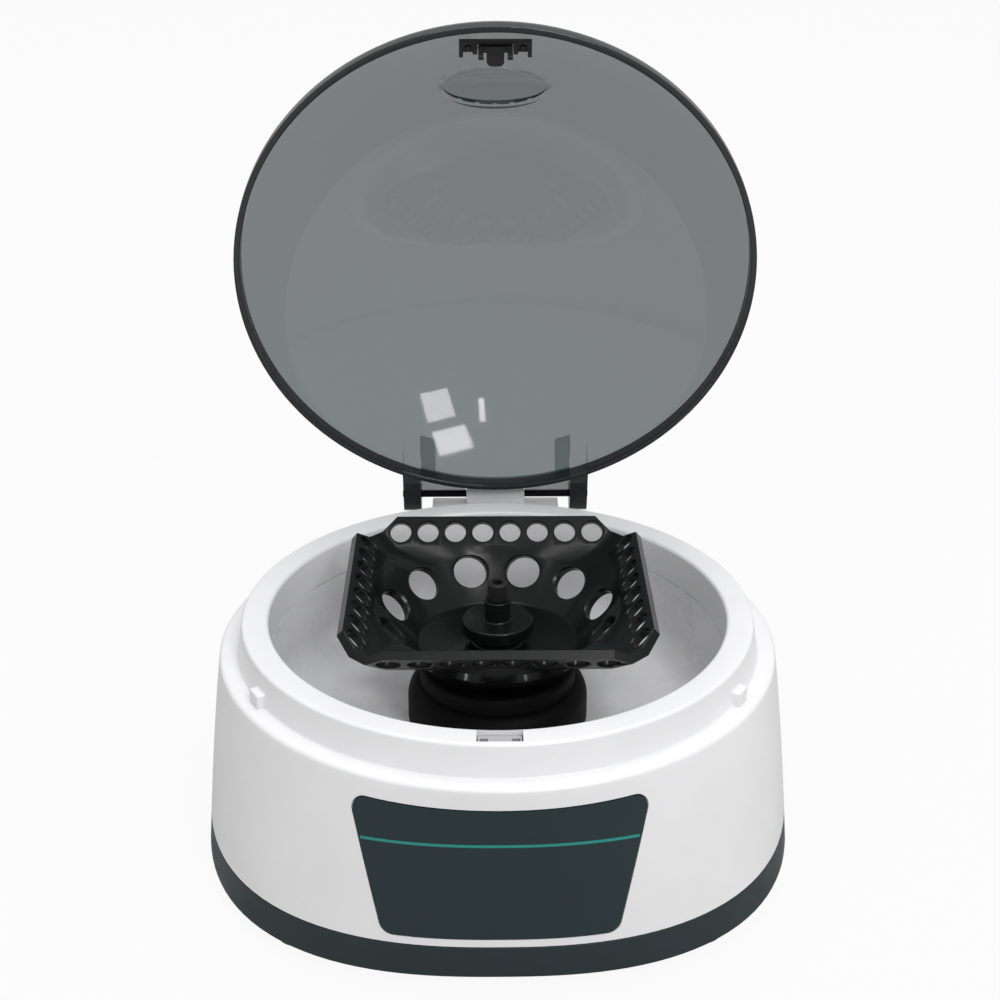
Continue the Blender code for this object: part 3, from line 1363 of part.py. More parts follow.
def build_clamp(rotor_empty, rotor_origin):
    """Clamp disc with its boss, and the socket screw that holds the rotor down."""
    origin = (0, 0, CLAMP_LOW_Z)
    empty = axis_empty("clamp_axis", origin, rotor_empty, rotor_origin)
    bore = CLAMP_SCREW_R + GAP
    disc = turned("clamp_disc", [
        (CLAMP_BOSS_R, CLAMP_BOSS_TOP_Z), (CLAMP_BOSS_R, CLAMP_TOP_Z),
        (CLAMP_R - CLAMP_EDGE, CLAMP_TOP_Z), (CLAMP_R, CLAMP_TOP_Z - CLAMP_EDGE),
        (CLAMP_R, CLAMP_LOW_Z), (bore, CLAMP_LOW_Z), (bore, CLAMP_BOSS_TOP_Z),
    ], BLACK, steps=MID_STEPS)
    ride(disc, empty, origin)
    head_low = CLAMP_BOSS_TOP_Z + GAP
    screw = turned("clamp_screw", [
        (0, CLAMP_HEAD_TOP_Z), (CLAMP_HEAD_R - GAP, CLAMP_HEAD_TOP_Z),
        (CLAMP_HEAD_R, CLAMP_HEAD_TOP_Z - GAP), (CLAMP_HEAD_R, head_low), (CLAMP_SCREW_R, head_low),
        (CLAMP_SCREW_R, CLAMP_TIP_Z), (0, CLAMP_TIP_Z),
    ], MATT, closed=False, steps=SMALL_STEPS)
    cut(screw, rod(
        "clamp_socket", (0, 0, CLAMP_HEAD_TOP_Z - CLAMP_SOCKET_DEEP),
        (0, 0, CLAMP_HEAD_TOP_Z + OVERRUN), CLAMP_SOCKET_R, None, HEX,
    ))
    ride(screw, empty, origin)


def dome_centre_z():
    """Height of the centre of the lid's round top."""
    reach = LID_TALL - LID_SKIRT
    radius = (LID_R**2 + reach**2) / (2 * reach)
    return SHELF_Z + GAP + LID_TALL - radius


def dome_sphere_r():
    return SHELF_Z + GAP + LID_TALL - dome_centre_z()


def dome_profile(inset):
    """Lid profile from the crown down to the rim, moved in by an inset."""
    rim_z = SHELF_Z + GAP
    centre, sphere = dome_centre_z(), dome_sphere_r() - inset
    last = math.asin((LID_R - inset) / sphere)
    points = []
    for k in range(LID_DOME_STEPS + 1):
        angle = last * k / LID_DOME_STEPS
        points.append((sphere * math.sin(angle), centre + sphere * math.cos(angle)))
    points.append((LID_R - inset, rim_z))
    return points


def build_lid():
    """Smoked lid, its arms, barrels and leaf, and the latch inside it."""
    origin = (0, HINGE_Y, HINGE_Z)
    empty = axis_empty("lid_hinge_axis", origin)
    empty.rotation_euler.x = -LID_OPEN
    outer = dome_profile(0)
    inner = dome_profile(LID_WALL)
    lid = turned("lid_dome", outer + list(reversed(inner)), SMOKE, closed=False)
    hollow = dome_profile(LID_WALL / 2)
    hollow.append((0, SHELF_Z + GAP - OVERRUN))
    hollow.insert(-1, (LID_R - LID_WALL / 2, SHELF_Z + GAP - OVERRUN))
    fitting = hinge_leaf()
    core = turned("lid_hollow", hollow, None, closed=False)
    cut(fitting, core)
    bosses = latch_bosses()
    pad = grip_disc("grip_pad", LID_WALL, -GRIP_DEEP - GRIP_FLOOR)
    shell = turned("lid_outside", outer_solid(), None, closed=False)
    common(bosses, shell)
    common(pad, shell)
    join(lid, fitting)
    join(lid, bosses)
    join(lid, pad)
    recess = grip_disc("grip_recess", 0, -GRIP_DEEP)
    cut(recess, grip_ribs())
    cut(lid, recess)
    cut(lid, rod(
        "arm_bores", (-HINGE_PIN_HALF - OVERRUN, HINGE_Y, HINGE_Z),
        (HINGE_PIN_HALF + OVERRUN, HINGE_Y, HINGE_Z), HINGE_PIN_R + GAP, None, HOLE_STEPS,
    ))
    for piece in (lid, fitting, bosses, pad, recess):
        ride(piece, empty, origin)
    build_latch(empty, origin)


def outer_solid():
    """The lid's outside, half a wall in, as a solid."""
    points = dome_profile(LID_WALL / 2)
    points.append((0, SHELF_Z + GAP))
    return points


def hinge_leaf():
    """Arms, gussets and the leaf between them, as one piece that reaches into the lid."""
    item = box(
        "hinge_leaf", (-ARM_OUTER_X + GAP, ARM_ROOT_Y, HINGE_Z - LEAF_THICK / 2),
        (ARM_OUTER_X - GAP, HINGE_Y - HINGE_PIN_R - GAP, HINGE_Z + LEAF_THICK / 2),
    )
    arm = bend(HINGE_Y, HINGE_Z, ARM_EYE_R, -PI / 2, PI / 2, HOLE_STEPS)
    arm += [(ARM_ROOT_Y, HINGE_Z + ARM_TOP), (ARM_ROOT_Y, HINGE_Z - ARM_LOW)]
    gusset = [
        (ARM_ROOT_Y, HINGE_Z - GAP), (GUSSET_FOOT_Y, HINGE_Z - GAP),
        (GUSSET_FOOT_Y - GUSSET_SLOPE, HINGE_Z + GUSSET_TOP), (ARM_ROOT_Y, HINGE_Z + GUSSET_TOP),
    ]
    for name, outline, inner, outer in (
        ("arm", arm, ARM_INNER_X, ARM_OUTER_X),
        ("gusset", gusset, GUSSET_INNER_X, ARM_INNER_X + GAP),
    ):
        join(item, prism(name + "_left", outline, -outer, -inner, "X"))
        join(item, prism(name + "_right", outline, inner, outer, "X"))
    notch = HINGE_TONGUE_HALF + GAP
    return cut(item, box(
        "tongue_notch", (-notch, HINGE_Y - LEAF_NOTCH, HINGE_Z - ARM_EYE_R),
        (notch, HINGE_Y + ARM_EYE_R, HINGE_Z + ARM_EYE_R),
    ))


def stake_ends(low, high):
    """Ends of the upright pegs on which the latch frame is staked."""
    return [((x, FRAME_PEG_Y, low), (x, FRAME_PEG_Y, high)) for x in (-FRAME_PEG_X, FRAME_PEG_X)]


def latch_bosses():
    """Two short posts from the dome down to the latch frame, with a peg on each."""
    seat = FRAME_TOP_Z + GAP
    bosses = rods("latch_bosses", stake_ends(seat, seat + 2 * OVERRUN), FRAME_BOSS_R)
    pegs = stake_ends(FRAME_LUG_LOW_Z - FRAME_PEG_PROUD, seat + FRAME_BOSS_R)
    return join(bosses, rods("latch_pegs", pegs, FRAME_PEG_R, None, HOLE_STEPS))


def seat_on_dome(item):
    """Set a piece on the dome at the grip, square to its surface."""
    tilt = math.asin(GRIP_R / dome_sphere_r())
    item.location = (0, -GRIP_R, dome_centre_z() + dome_sphere_r() * math.cos(tilt))
    item.rotation_euler.x = tilt
    return item


def grip_disc(name, grow, low):
    """Oval block through the dome's surface at the finger grip."""
    shape = bmesh.new()
    bmesh.ops.create_cone(
        shape, cap_ends=True, segments=MID_STEPS, radius1=1, radius2=1, depth=OVERRUN - low,
    )
    bmesh.ops.scale(shape, vec=(GRIP_HALF + grow, GRIP_SHORT_HALF + grow, 1), verts=shape.verts)
    bmesh.ops.translate(shape, vec=(0, 0, (OVERRUN + low) / 2), verts=shape.verts)
    return seat_on_dome(place(name, mesh_from(name, shape), None, (0, 0, 0), True))


def grip_ribs():
    """Ribs that stand on the floor of the grip."""
    pitch = 2 * GRIP_HALF / (GRIP_RIB_COUNT + 1)
    corners = []
    for k in range(GRIP_RIB_COUNT):
        x = pitch * (k + 1) - GRIP_HALF
        corners.append((
            (x - GRIP_RIB / 2, -GRIP_SHORT_HALF - GAP, -GRIP_DEEP - OVERRUN),
            (x + GRIP_RIB / 2, GRIP_SHORT_HALF + GAP, GRIP_RIB_TALL - GRIP_DEEP),
        ))
    return seat_on_dome(boxes("grip_ribs", corners))


def frame_blocks():
    """Blocks of the latch frame's one half: bar, leg, ear and lug."""
    ear = LATCH_BARREL_HALF + GAP
    rear = FRAME_REAR_Y - GAP
    ear_rear = LATCH_PIVOT_Y + LATCH_BARREL_R
    lug_rear = FRAME_PEG_Y + FRAME_BOSS_R
    return {
        "frame_leg": ((FRAME_HALF - FRAME_LEG, rear, FRAME_LOW_Z),
                      (FRAME_HALF, FRAME_LEG_REAR_Y, FRAME_TOP_Z)),
        "frame_ear": ((ear, rear, FRAME_LOW_Z), (ear + FRAME_EAR_THICK, ear_rear, FRAME_EAR_TOP_Z)),
        "frame_lug": ((ear + GAP, rear, FRAME_LUG_LOW_Z),
                      (FRAME_HALF - GAP, lug_rear, FRAME_TOP_Z - WELD)),
    }


def mirrored(low, high):
    """A block's corners on the other side of the centre plane."""
    return (-high[0], low[1], low[2]), (-low[0], high[1], high[2])


def build_latch(lid_empty, lid_origin):
    """Latch frame staked in the lid, its pin, and the sprung hook with two prongs."""
    frame = box(
        "latch_frame", (-FRAME_HALF, FRAME_FRONT_Y, FRAME_LOW_Z),
        (FRAME_HALF, FRAME_REAR_Y, FRAME_TOP_Z), MATT,
    )
    for name, (low, high) in frame_blocks().items():
        join(frame, boxes(name, [(low, high), mirrored(low, high)]))
    pin_ends = (
        (-LATCH_PIN_HALF, LATCH_PIVOT_Y, LATCH_PIVOT_Z), (LATCH_PIN_HALF, LATCH_PIVOT_Y, LATCH_PIVOT_Z),
    )
    cut(frame, rod("frame_pin_bore", *pin_ends, LATCH_PIN_R + GAP, None, HOLE_STEPS))
    holes = stake_ends(FRAME_LOW_Z - OVERRUN, FRAME_TOP_Z + OVERRUN)
    cut(frame, rods("frame_peg_holes", holes, FRAME_PEG_R + GAP, None, HOLE_STEPS))
    ride(frame, lid_empty, lid_origin)
    pin = rod("latch_pin", *pin_ends, LATCH_PIN_R, STEEL, HOLE_STEPS)
    ride(pin, lid_empty, lid_origin)
    build_hook(lid_empty, lid_origin)


def tab_outline():
    """Thumb tab of the hook, with its two far corners cut off."""
    half, tip = LATCH_TAB_HALF, LATCH_PIVOT_Y + LATCH_BARREL_R + LATCH_TAB_LONG
    cut_off = LATCH_TAB_ROUND
    return [
        (-half, LATCH_PIVOT_Y), (half, LATCH_PIVOT_Y), (half, tip - cut_off), (half - cut_off, tip),
        (cut_off - half, tip), (-half, tip - cut_off),
    ]


def build_hook(lid_empty, lid_origin):
    """Hook that swings on the pin: barrel, two prongs, a cross bar and a thumb tab."""
    origin = (0, LATCH_PIVOT_Y, LATCH_PIVOT_Z)
    empty = axis_empty("latch_axis", origin, lid_empty, lid_origin)
    half = LATCH_BARREL_HALF
    hook = rod(
        "latch_hook", (-half, LATCH_PIVOT_Y, LATCH_PIVOT_Z), (half, LATCH_PIVOT_Y, LATCH_PIVOT_Z),
        LATCH_BARREL_R, MATT,
    )
    front, rear = LATCH_POST_FRONT_Y, LATCH_POST_REAR_Y
    for name, side in (("prong_left", -1), ("prong_right", 1)):
        near, far = sorted((side * LATCH_POST_INNER_X, side * (half - WELD)))
        join(hook, box(name, (near, front, LATCH_POST_TIP_Z), (far, rear, LATCH_PIVOT_Z)))
    inset = LATCH_POST_INNER_X + GAP
    join(hook, box(
        "hook_bar", (-inset, front + WELD, LATCH_BAR_Z),
        (inset, rear - WELD, LATCH_BAR_Z + LATCH_BAR_TALL),
    ))
    tab_low = LATCH_PIVOT_Z - LATCH_TAB_THICK / 2
    join(hook, prism("hook_tab", tab_outline(), tab_low, tab_low + LATCH_TAB_THICK, "Z"))
    cut(hook, rod(
        "hook_bore", (-half - OVERRUN, LATCH_PIVOT_Y, LATCH_PIVOT_Z),
        (half + OVERRUN, LATCH_PIVOT_Y, LATCH_PIVOT_Z), LATCH_PIN_R + GAP, None, HOLE_STEPS,
    ))
    ride(hook, empty, origin)


def build_lid_switch():
    """Micro switch under the receiver, and the plunger that a prong pushes."""
    body = box(
        "lid_switch", (SWITCH_X - SWITCH_HALF_LONG, SWITCH_FRONT_Y, SWITCH_LOW_Z),
        (SWITCH_X + SWITCH_HALF_LONG, SWITCH_REAR_Y, SWITCH_TOP_Z), MATT,
    )
    foot = SWITCH_TOP_Z - PLUNGER_TRAVEL - PLUNGER_FOOT
    grown = PLUNGER_HALF + GAP
    cut(body, box(
        "plunger_well", (SWITCH_X - grown, PLUNGER_Y - grown, foot - GAP - PLUNGER_TRAVEL),
        (SWITCH_X + grown, PLUNGER_Y + grown, SWITCH_TOP_Z + OVERRUN),
    ))
    origin = (SWITCH_X, PLUNGER_Y, foot)
    empty = axis_empty("lid_switch_axis", origin)
    plunger = box(
        "switch_plunger", (SWITCH_X - PLUNGER_HALF, PLUNGER_Y - PLUNGER_HALF, foot),
        (SWITCH_X + PLUNGER_HALF, PLUNGER_Y + PLUNGER_HALF, PLUNGER_TOP_Z), MATT,
    )
    ride(plunger, empty, origin)


def board_spot(shares):
    """A place on the control board, as shares of its half width and its depth."""
    share_x, share_y = shares
    return (share_x * BOARD_HALF, BOARD_FRONT_Y + share_y * (BOARD_REAR_Y - BOARD_FRONT_Y))


def board_hole_places():
    left, right = BOARD_HOLE_IN - BOARD_HALF, BOARD_HALF - BOARD_HOLE_IN
    front, rear = BOARD_FRONT_Y + BOARD_HOLE_IN, BOARD_REAR_Y - BOARD_HOLE_IN
    return [(left, front), (right, front), (right, rear), (left, rear)]


def board_pillars(seat):
    """Pillars of the tray under the board, two of them with a peg through it."""
    places = board_hole_places()
    pillars = upright_rods("board_pillars", places, seat, BOARD_LOW_Z - GAP, STANDOFF_R)
    pegs = upright_rods(
        "board_pegs", places[1::2], seat + WALL, BOARD_LOW_Z + BOARD_THICK, BOARD_SCREW_R, None,
        HOLE_STEPS,
    )
    return join(pillars, pegs)


def build_control_board():
    """Control board on the tray's pillars, with its two screws."""
    top = BOARD_LOW_Z + BOARD_THICK
    board = box(
        "control_board", (-BOARD_HALF, BOARD_FRONT_Y, BOARD_LOW_Z), (BOARD_HALF, BOARD_REAR_Y, top),
        BOARD,
    )
    places = board_hole_places()
    cut(board, upright_rods(
        "board_holes", places, BOARD_LOW_Z - OVERRUN, top + OVERRUN, BOARD_SCREW_R + GAP, None,
        HOLE_STEPS,
    ))
    head = (top + GAP, top + GAP + BOARD_SCREW_HEAD, BOARD_SCREW_HEAD_R)
    for k, spot in enumerate(places[::2]):
        screw(f"board_screw_{k + 1}", spot, head, BOARD_SCREW_TIP_Z, BOARD_SCREW_R)
    build_board_parts(top + GAP)


def board_box(name, shares, half, low, tall, material):
    x, y = board_spot(shares)
    return box(name, (x - half[0], y - half[1], low), (x + half[0], y + half[1], low + tall), material)


def build_board_parts(seat):
    """Capacitor, heat sink, driver chip and terminal block."""
    x, y = board_spot(CAPACITOR_PLACE_shares)
    top = seat + CAPACITOR_TALL
    turned("board_capacitor", [
        (0, top), (CAPACITOR_R - GAP, top), (CAPACITOR_R, top - GAP), (CAPACITOR_R, seat), (0, seat),
    ], SLATE, closed=False, steps=SMALL_STEPS, at=(x, y, 0))
    sink_x, sink_y = board_spot(SINK_PLACE_shares)
    shifted = [(sink_x + x, z) for x, z in sink_outline(seat)]
    prism("heat_sink", shifted, sink_y - SINK_HALF[1], sink_y + SINK_HALF[1], "Y", ALLOY)
    board_box("driver_chip", CHIP_PLACE_shares, CHIP_HALF, seat, CHIP_TALL, MATT)
    board_box("terminal_block", TERMINAL_PLACE_shares, TERMINAL_HALF, seat, TERMINAL_TALL, WHITE)


def sink_outline(seat):
    """Comb section of the heat sink."""
    half = SINK_HALF[0]
    pitch = (2 * half - SINK_FIN) / (SINK_FINS - 1)
    points = [(-half, seat), (half, seat)]
    for k in reversed(range(SINK_FINS)):
        left = k * pitch - half
        right = left + SINK_FIN
        points += [(right, seat + SINK_TALL), (left, seat + SINK_TALL)]
        if k:
            points += [(left, seat + SINK_BASE), (left - pitch + SINK_FIN, seat + SINK_BASE)]
    return points


def smooth_route(points, count):
    """Points along a smooth curve through the route's own points."""
    knots = [Vector(point) for point in points]
    padded = [2 * knots[0] - knots[1]] + knots + [2 * knots[-1] - knots[-2]]
    route = []
    for k in range(count):
        along = (len(knots) - 1) * k / (count - 1)
        leg = min(int(along), len(knots) - 2)
        share = along - leg
        a, b, c, d = padded[leg : leg + 4]
        route.append(0.5 * (
            2 * b + (c - a) * share + (2 * a - 5 * b + 4 * c - d) * share**2
            + (3 * b - a - 3 * c + d) * share**3
        ))
    return route


def lead(name, points, material, fineness=1):
    """An insulated wire along a smooth route."""
    curve = bpy.data.curves.new(name, "CURVE")
    curve.dimensions = "3D"
    curve.bevel_depth = LEAD_R
    curve.bevel_resolution = 1
    curve.use_fill_caps = True
    route = smooth_route(points, fineness * LEAD_POINTS)
    spline = curve.splines.new("POLY")
    spline.points.add(len(route) - 1)
    for spot, point in zip(spline.points, route):
        spot.co = (*point, 1)
    item = bpy.data.objects.new(name, curve)
    PARTS.objects.link(item)
    curve.materials.append(material)


def build_leads():
    """Leads: jack to rocker, rocker to board, board to motor, board to lid switch."""
    seat = BOARD_LOW_Z + BOARD_THICK + GAP
    block_x, block_y = board_spot(TERMINAL_PLACE_shares)
    left, right = [block_x + share * TERMINAL_HALF[0] for share in TERMINAL_WAY_shares]
    face = block_y - TERMINAL_HALF[1] - GAP
    mid_z, top_z = seat + TERMINAL_TALL / 2, seat + TERMINAL_TALL + GAP
    jack_end = REAR_FACE_Y - JACK_LONG
    rocker_end = REAR_FACE_Y - ROCKER_DEEP
    step = LEAD_STEP
    z = REAR_FIXTURE_Z
    near, far = ROCKER_X - step, ROCKER_X + step
    lead("jack_lead", [
        (JACK_X, jack_end, z), (JACK_X, jack_end - step, z),
        ((JACK_X + near) / 2, jack_end - 2 * step, z),
        (near, rocker_end - 2 * step, z), (near, rocker_end, z),
    ], LEAD_RED)
    lead("rocker_lead", [
        (far, rocker_end, z), (far, rocker_end - step, z), (right, BOARD_REAR_Y, z),
        (right, block_y + 2 * step, z), (right, block_y, top_z + step / 2), (right, block_y, top_z),
    ], LEAD_BLACK)
    reach = CAN_R + GAP + LEAD_R
    lead("motor_lead", [
        (left, face, mid_z), (left, face - step, mid_z), polar(reach + 2 * step, PI / 3, z),
        polar(reach + step, PI / 4, z), polar(reach, PI / 4, z),
    ], LEAD_BLUE)
    side = SWITCH_X + SWITCH_HALF_LONG + GAP
    lead("switch_lead", [
        (right, face, mid_z), (right, face - step, mid_z), (PLATE_R, CAN_R, mid_z + step),
        (PLATE_R, 0, z), (PLATE_R, -CAN_R, z), (CAN_R, -PLATE_R - 3 * step, z),
        (2 * step, BOWL_HOLE_R - SHELF_HALF, z + step),
        (2 * step, SWITCH_FRONT_Y + WALL, BOWL_FLOOR_Z + step),
        (2 * step, SWITCH_FRONT_Y + WALL, SWITCH_LOW_Z - step),
        (side + step, (SWITCH_FRONT_Y + SWITCH_REAR_Y) / 2, SWITCH_LOW_Z + WALL),
        (side, (SWITCH_FRONT_Y + SWITCH_REAR_Y) / 2, SWITCH_LOW_Z + WALL),
    ], LEAD_BLACK, 2)


def build_all():
    build_upper_housing()
    build_base_tray()
    build_feet()
    build_case_screws()
    build_chamber_bowl()
    panel_piece("front_panel", 0, -PANEL_SUNK, PANEL_PROUD, LABEL)
    build_latch_receiver()
    build_rear_panel()
    build_power_jack()
    build_rocker()
    build_hinge_block()
    build_motor_mount()
    build_motor()
    build_motor_boot()
    spin_empty, spin_origin = build_spindle()
    rotor_empty, rotor_origin = build_rotor(spin_empty, spin_origin)
    build_clamp(rotor_empty, rotor_origin)
    build_lid()
    build_lid_switch()
    build_control_board()
    build_leads()


build_all()
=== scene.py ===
"""Looks of a mini centrifuge with its smoked lid standing open.

Metres, +Z up. The front of the case faces -Y, the spin axis is the Z axis, and the
underside of the base tray is at height zero. Pieces of the lid are built as they lie with
the lid shut, and are then swung open about the hinge.
"""

import logging
import math
from dataclasses import dataclass, field
from enum import Enum
from typing import Iterable, Sequence

import bmesh
import bpy
from mathutils import Matrix, Vector


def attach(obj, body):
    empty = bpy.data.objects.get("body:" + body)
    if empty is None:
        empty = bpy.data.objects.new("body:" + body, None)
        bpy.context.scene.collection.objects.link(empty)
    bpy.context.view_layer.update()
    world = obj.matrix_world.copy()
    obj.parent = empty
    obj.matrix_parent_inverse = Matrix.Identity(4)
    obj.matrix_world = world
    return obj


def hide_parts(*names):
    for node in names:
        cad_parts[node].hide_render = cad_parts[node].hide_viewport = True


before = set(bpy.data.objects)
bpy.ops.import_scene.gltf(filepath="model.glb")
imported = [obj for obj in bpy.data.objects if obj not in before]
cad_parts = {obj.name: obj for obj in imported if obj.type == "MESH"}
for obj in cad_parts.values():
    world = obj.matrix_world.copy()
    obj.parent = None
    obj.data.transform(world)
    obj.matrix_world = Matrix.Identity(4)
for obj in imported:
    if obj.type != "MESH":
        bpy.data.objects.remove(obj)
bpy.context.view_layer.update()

LOG = logging.getLogger("mini_centrifuge")

Pair = tuple[float, float]
Point = tuple[float, float, float]
Corner = tuple[float, float, float]
Colour = tuple[float, float, float]

GAP = 0.0003
OVERRUN = 0.004
WELD = 0.000001
SHY = 10 * WELD
ROUND_STEPS = 144
MID_STEPS = 48
SMALL_STEPS = 24
FILLET_STEPS = 5
SHARP_ANGLE = math.radians(34)
UP = Vector((0, 0, 1))


class Way(Enum):
    """Axis of the frame along which a flat outline is swept."""

    X = 0
    Y = 1
    Z = 2


class Cut(Enum):
    """How one solid works on another."""

    AWAY = "DIFFERENCE"
    ADD = "UNION"
    SHARED = "INTERSECT"


class Grain(Enum):
    """Fine texture of a surface, with its stretch along each axis."""

    MOULDED = (1.0, 1.0, 1.0)
    BRUSHED = (0.06, 1.0, 1.0)
    POLISHED = (0.4, 0.4, 0.4)


@dataclass(frozen=True)
class Finish:
    """A surface finish, and the node material that is made from it.

    Attributes:
        name: Name of the material.
        slot: The record's material slot it stands for; not used by this script.
        colour: Linear base colour.
        roughness: Mean roughness.
        metallic: One for bare metal.
        opacity: Share of light that the surface stops.
        grain: Kind of fine texture.
        grain_size: Size of one grain, in metres.
        relief: Height of the grain, in metres.
        mottle: Share by which the colour varies.
        smudge: Amount by which the roughness varies.
        smudge_size: Size of one smudge, in metres.
        coat: Weight of a clear gloss over the surface.
        ior: Index of refraction, which sets how much it mirrors.
    """

    name: str
    slot: str
    colour: Colour
    roughness: float
    metallic: float = 0.0
    opacity: float = 1.0
    grain: Grain = Grain.MOULDED
    grain_size: float = 0.0004
    relief: float = 0.000006
    mottle: float = 0.02
    smudge: float = 0.05
    smudge_size: float = 0.014
    coat: float = 0.0
    ior: float = 1.5

    def material(self) -> bpy.types.Material:
        """The finish as a material, made once.

        Returns:
            The material that all pieces of this finish share.
        """
        found = bpy.data.materials.get(self.name)
        if found:
            return found
        made = bpy.data.materials.new(self.name)
        made.use_nodes = True
        tree = made.node_tree
        shader = tree.nodes["Principled BSDF"]
        shader.inputs["Metallic"].default_value = self.metallic
        shader.inputs["Alpha"].default_value = self.opacity
        shader.inputs["Coat Weight"].default_value = self.coat
        shader.inputs["IOR"].default_value = self.ior
        place = tree.nodes.new("ShaderNodeTexCoord").outputs["Object"]
        self._colour(tree, shader, place)
        self._roughness(tree, shader, place)
        self._relief(tree, shader, place)
        return made

    def _colour(self, tree: bpy.types.NodeTree, shader: bpy.types.Node, place: bpy.types.NodeSocket) -> None:
        """Let the base colour vary softly.

        Args:
            tree: The material's node tree.
            shader: Its Principled shader.
            place: The socket with the point on the surface.
        """
        cloud = tree.nodes.new("ShaderNodeTexNoise")
        cloud.inputs["Scale"].default_value = 0.7 / self.smudge_size
        cloud.inputs["Detail"].default_value = 3
        tree.links.new(place, cloud.inputs["Vector"])
        ramp = tree.nodes.new("ShaderNodeValToRGB")
        ramp.color_ramp.elements[0].position = 0.3
        ramp.color_ramp.elements[1].position = 0.7
        for element, share in zip(ramp.color_ramp.elements, (1 - self.mottle, 1 + self.mottle)):
            element.color = (*(min(1.0, share * part) for part in self.colour), 1)
        tree.links.new(cloud.outputs["Fac"], ramp.inputs["Fac"])
        tree.links.new(ramp.outputs["Color"], shader.inputs["Base Color"])

    def _roughness(self, tree: bpy.types.NodeTree, shader: bpy.types.Node, place: bpy.types.NodeSocket) -> None:
        """Let the gloss vary, as handling leaves it.

        Args:
            tree: The material's node tree.
            shader: Its Principled shader.
            place: The socket with the point on the surface.
        """
        smear = tree.nodes.new("ShaderNodeTexNoise")
        smear.inputs["Scale"].default_value = 1 / self.smudge_size
        smear.inputs["Detail"].default_value = 5
        tree.links.new(place, smear.inputs["Vector"])
        span = tree.nodes.new("ShaderNodeMapRange")
        span.inputs["From Min"].default_value = 0.3
        span.inputs["From Max"].default_value = 0.7
        span.inputs["To Min"].default_value = max(0.02, self.roughness - self.smudge)
        span.inputs["To Max"].default_value = min(1.0, self.roughness + self.smudge)
        tree.links.new(smear.outputs["Fac"], span.inputs["Value"])
        tree.links.new(span.outputs["Result"], shader.inputs["Roughness"])

    def _relief(self, tree: bpy.types.NodeTree, shader: bpy.types.Node, place: bpy.types.NodeSocket) -> None:
        """Raise the fine grain.

        Args:
            tree: The material's node tree.
            shader: Its Principled shader.
            place: The socket with the point on the surface.
        """
        stretch = tree.nodes.new("ShaderNodeMapping")
        stretch.inputs["Scale"].default_value = self.grain.value
        tree.links.new(place, stretch.inputs["Vector"])
        grains = tree.nodes.new("ShaderNodeTexNoise")
        grains.inputs["Scale"].default_value = 1 / self.grain_size
        grains.inputs["Detail"].default_value = 2
        tree.links.new(stretch.outputs["Vector"], grains.inputs["Vector"])
        bump = tree.nodes.new("ShaderNodeBump")
        bump.inputs["Strength"].default_value = 0.6
        bump.inputs["Distance"].default_value = self.relief
        tree.links.new(grains.outputs["Fac"], bump.inputs["Height"])
        tree.links.new(bump.outputs["Normal"], shader.inputs["Normal"])


